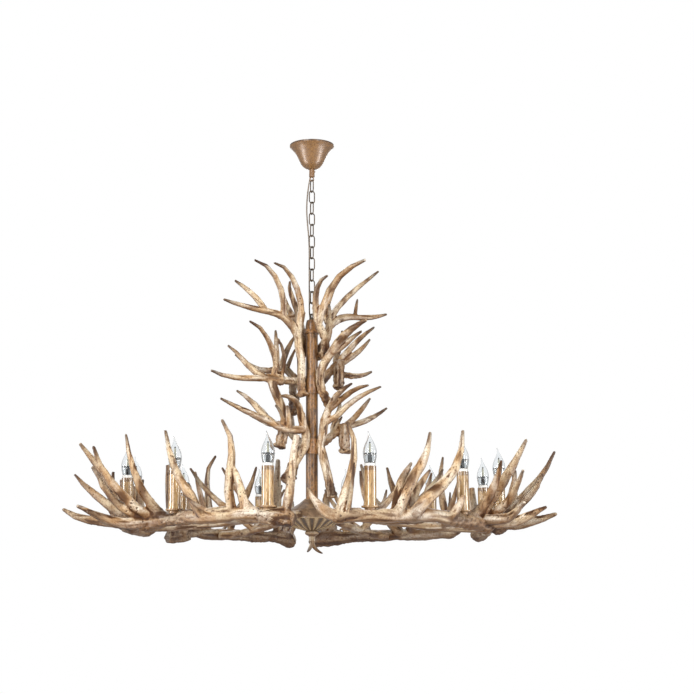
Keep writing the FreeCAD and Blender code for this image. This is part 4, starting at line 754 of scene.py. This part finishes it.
studio = {
    "floorDrop": 2.75,
    "floorRadius": 14.0,
    "floorColour": "#F4F3F0",
    "whiteFloor": 0.85,  # how much of the backdrop's white the floor shows to the camera
    "whiteGloss": 0.45,  # how much of it shows in gloss
    "ambient": (0.11, 0.52),  # from below and from above
    "boxes": (
        # place, width, height, watts, whether it lights the piece or is only mirrored in its gloss
        ((-1.6, -3.1, 0.1), 0.7, 2.8, 94, True),
        ((1.8, -3.0, -0.1), 0.6, 2.8, 60, True),
        ((0.3, 3.0, 0.9), 1.6, 1.6, 40, True),
        ((-2.2, -0.7, -1.3), 0.6, 2.4, 85, False),
        ((2.2, -0.7, -1.3), 0.6, 2.4, 85, False),
    ),
    "aim": (0.0, 0.0, -0.7),
}


def whiteSeen(tree, setup):
    # 1 for what the camera and glass see, less for gloss, 0 for what lights the piece
    camera, glossy, through = [addNode(tree, "LightPath", output="Is %s Ray" % kind)
                               for kind in ("Camera", "Glossy", "Transmission")]
    glossy = addNode(tree, "Math", {0: glossy, 1: setup["whiteGloss"]}, operation="MULTIPLY")
    seen = addNode(tree, "Math", {0: camera, 1: glossy}, operation="MAXIMUM")
    return addNode(tree, "Math", {0: seen, 1: through}, operation="MAXIMUM")


def makeSky(setup):
    world = bpy.data.worlds.new("studioWorld")
    scene.world = world
    world.use_nodes = True
    tree = world.node_tree
    tree.nodes.clear()
    height = addNode(tree, "SeparateXYZ", {0: addNode(tree, "TexCoord", output="Generated")}, "Z")
    low, high = setup["ambient"]
    soft = addNode(tree, "MapRange", {"Value": height, "From Min": -0.7, "From Max": 0.8, "To Min": low,
                                      "To Max": high})
    strength = addNode(tree, "MapRange", {"Value": whiteSeen(tree, setup), "To Min": soft, "To Max": 1.0})
    sky = addNode(tree, "Background", {"Color": "#FFFFFF", "Strength": strength})
    addNode(tree, "OutputWorld", {"Surface": sky})


def makeFloor(setup):
    bm = bmesh.new()
    bmesh.ops.create_circle(bm, cap_ends=True, segments=96, radius=setup["floorRadius"])
    bmesh.ops.translate(bm, verts=bm.verts, vec=(0, 0, -setup["floorDrop"]))
    mesh = bpy.data.meshes.new("studioFloor")
    bm.to_mesh(mesh)
    bm.free()
    floor = bpy.data.objects.new("studioFloor", mesh)
    scene.collection.objects.link(floor)
    material, tree = blankMaterial("floorPaper")  # matt white paper roll, lit from within for the camera
    paper = addNode(tree, "BsdfDiffuse", {"Color": setup["floorColour"]})
    lit = addNode(tree, "Emission", {"Color": "#FFFFFF", "Strength": 1.0})
    white = addNode(tree, "Math", {0: whiteSeen(tree, setup), 1: setup["whiteFloor"]}, operation="MULTIPLY")
    both = addNode(tree, "MixShader", {0: white, 1: paper, 2: lit})
    addNode(tree, "OutputMaterial", {"Surface": both})
    mesh.materials.append(material)


def makeLamps(setup):
    for number, (place, width, height, watts, lights) in enumerate(setup["boxes"]):
        data = bpy.data.lights.new("softBox%d" % number, "AREA")
        data.shape = "RECTANGLE"
        data.size, data.size_y, data.energy = width, height, watts
        light = bpy.data.objects.new("softBox%d" % number, data)
        light.location = place
        light.visible_diffuse = lights
        light.visible_transmission = False  # the glass shows the white backdrop, never a lamp
        light.rotation_mode = "QUATERNION"
        light.rotation_quaternion = (Vector(setup["aim"]) - Vector(place)).to_track_quat("-Z", "Y")
        scene.collection.objects.link(light)


makeSky(studio)
makeFloor(studio)
makeLamps(studio)
scene.view_settings.view_transform = "Standard"

print("scene ready")
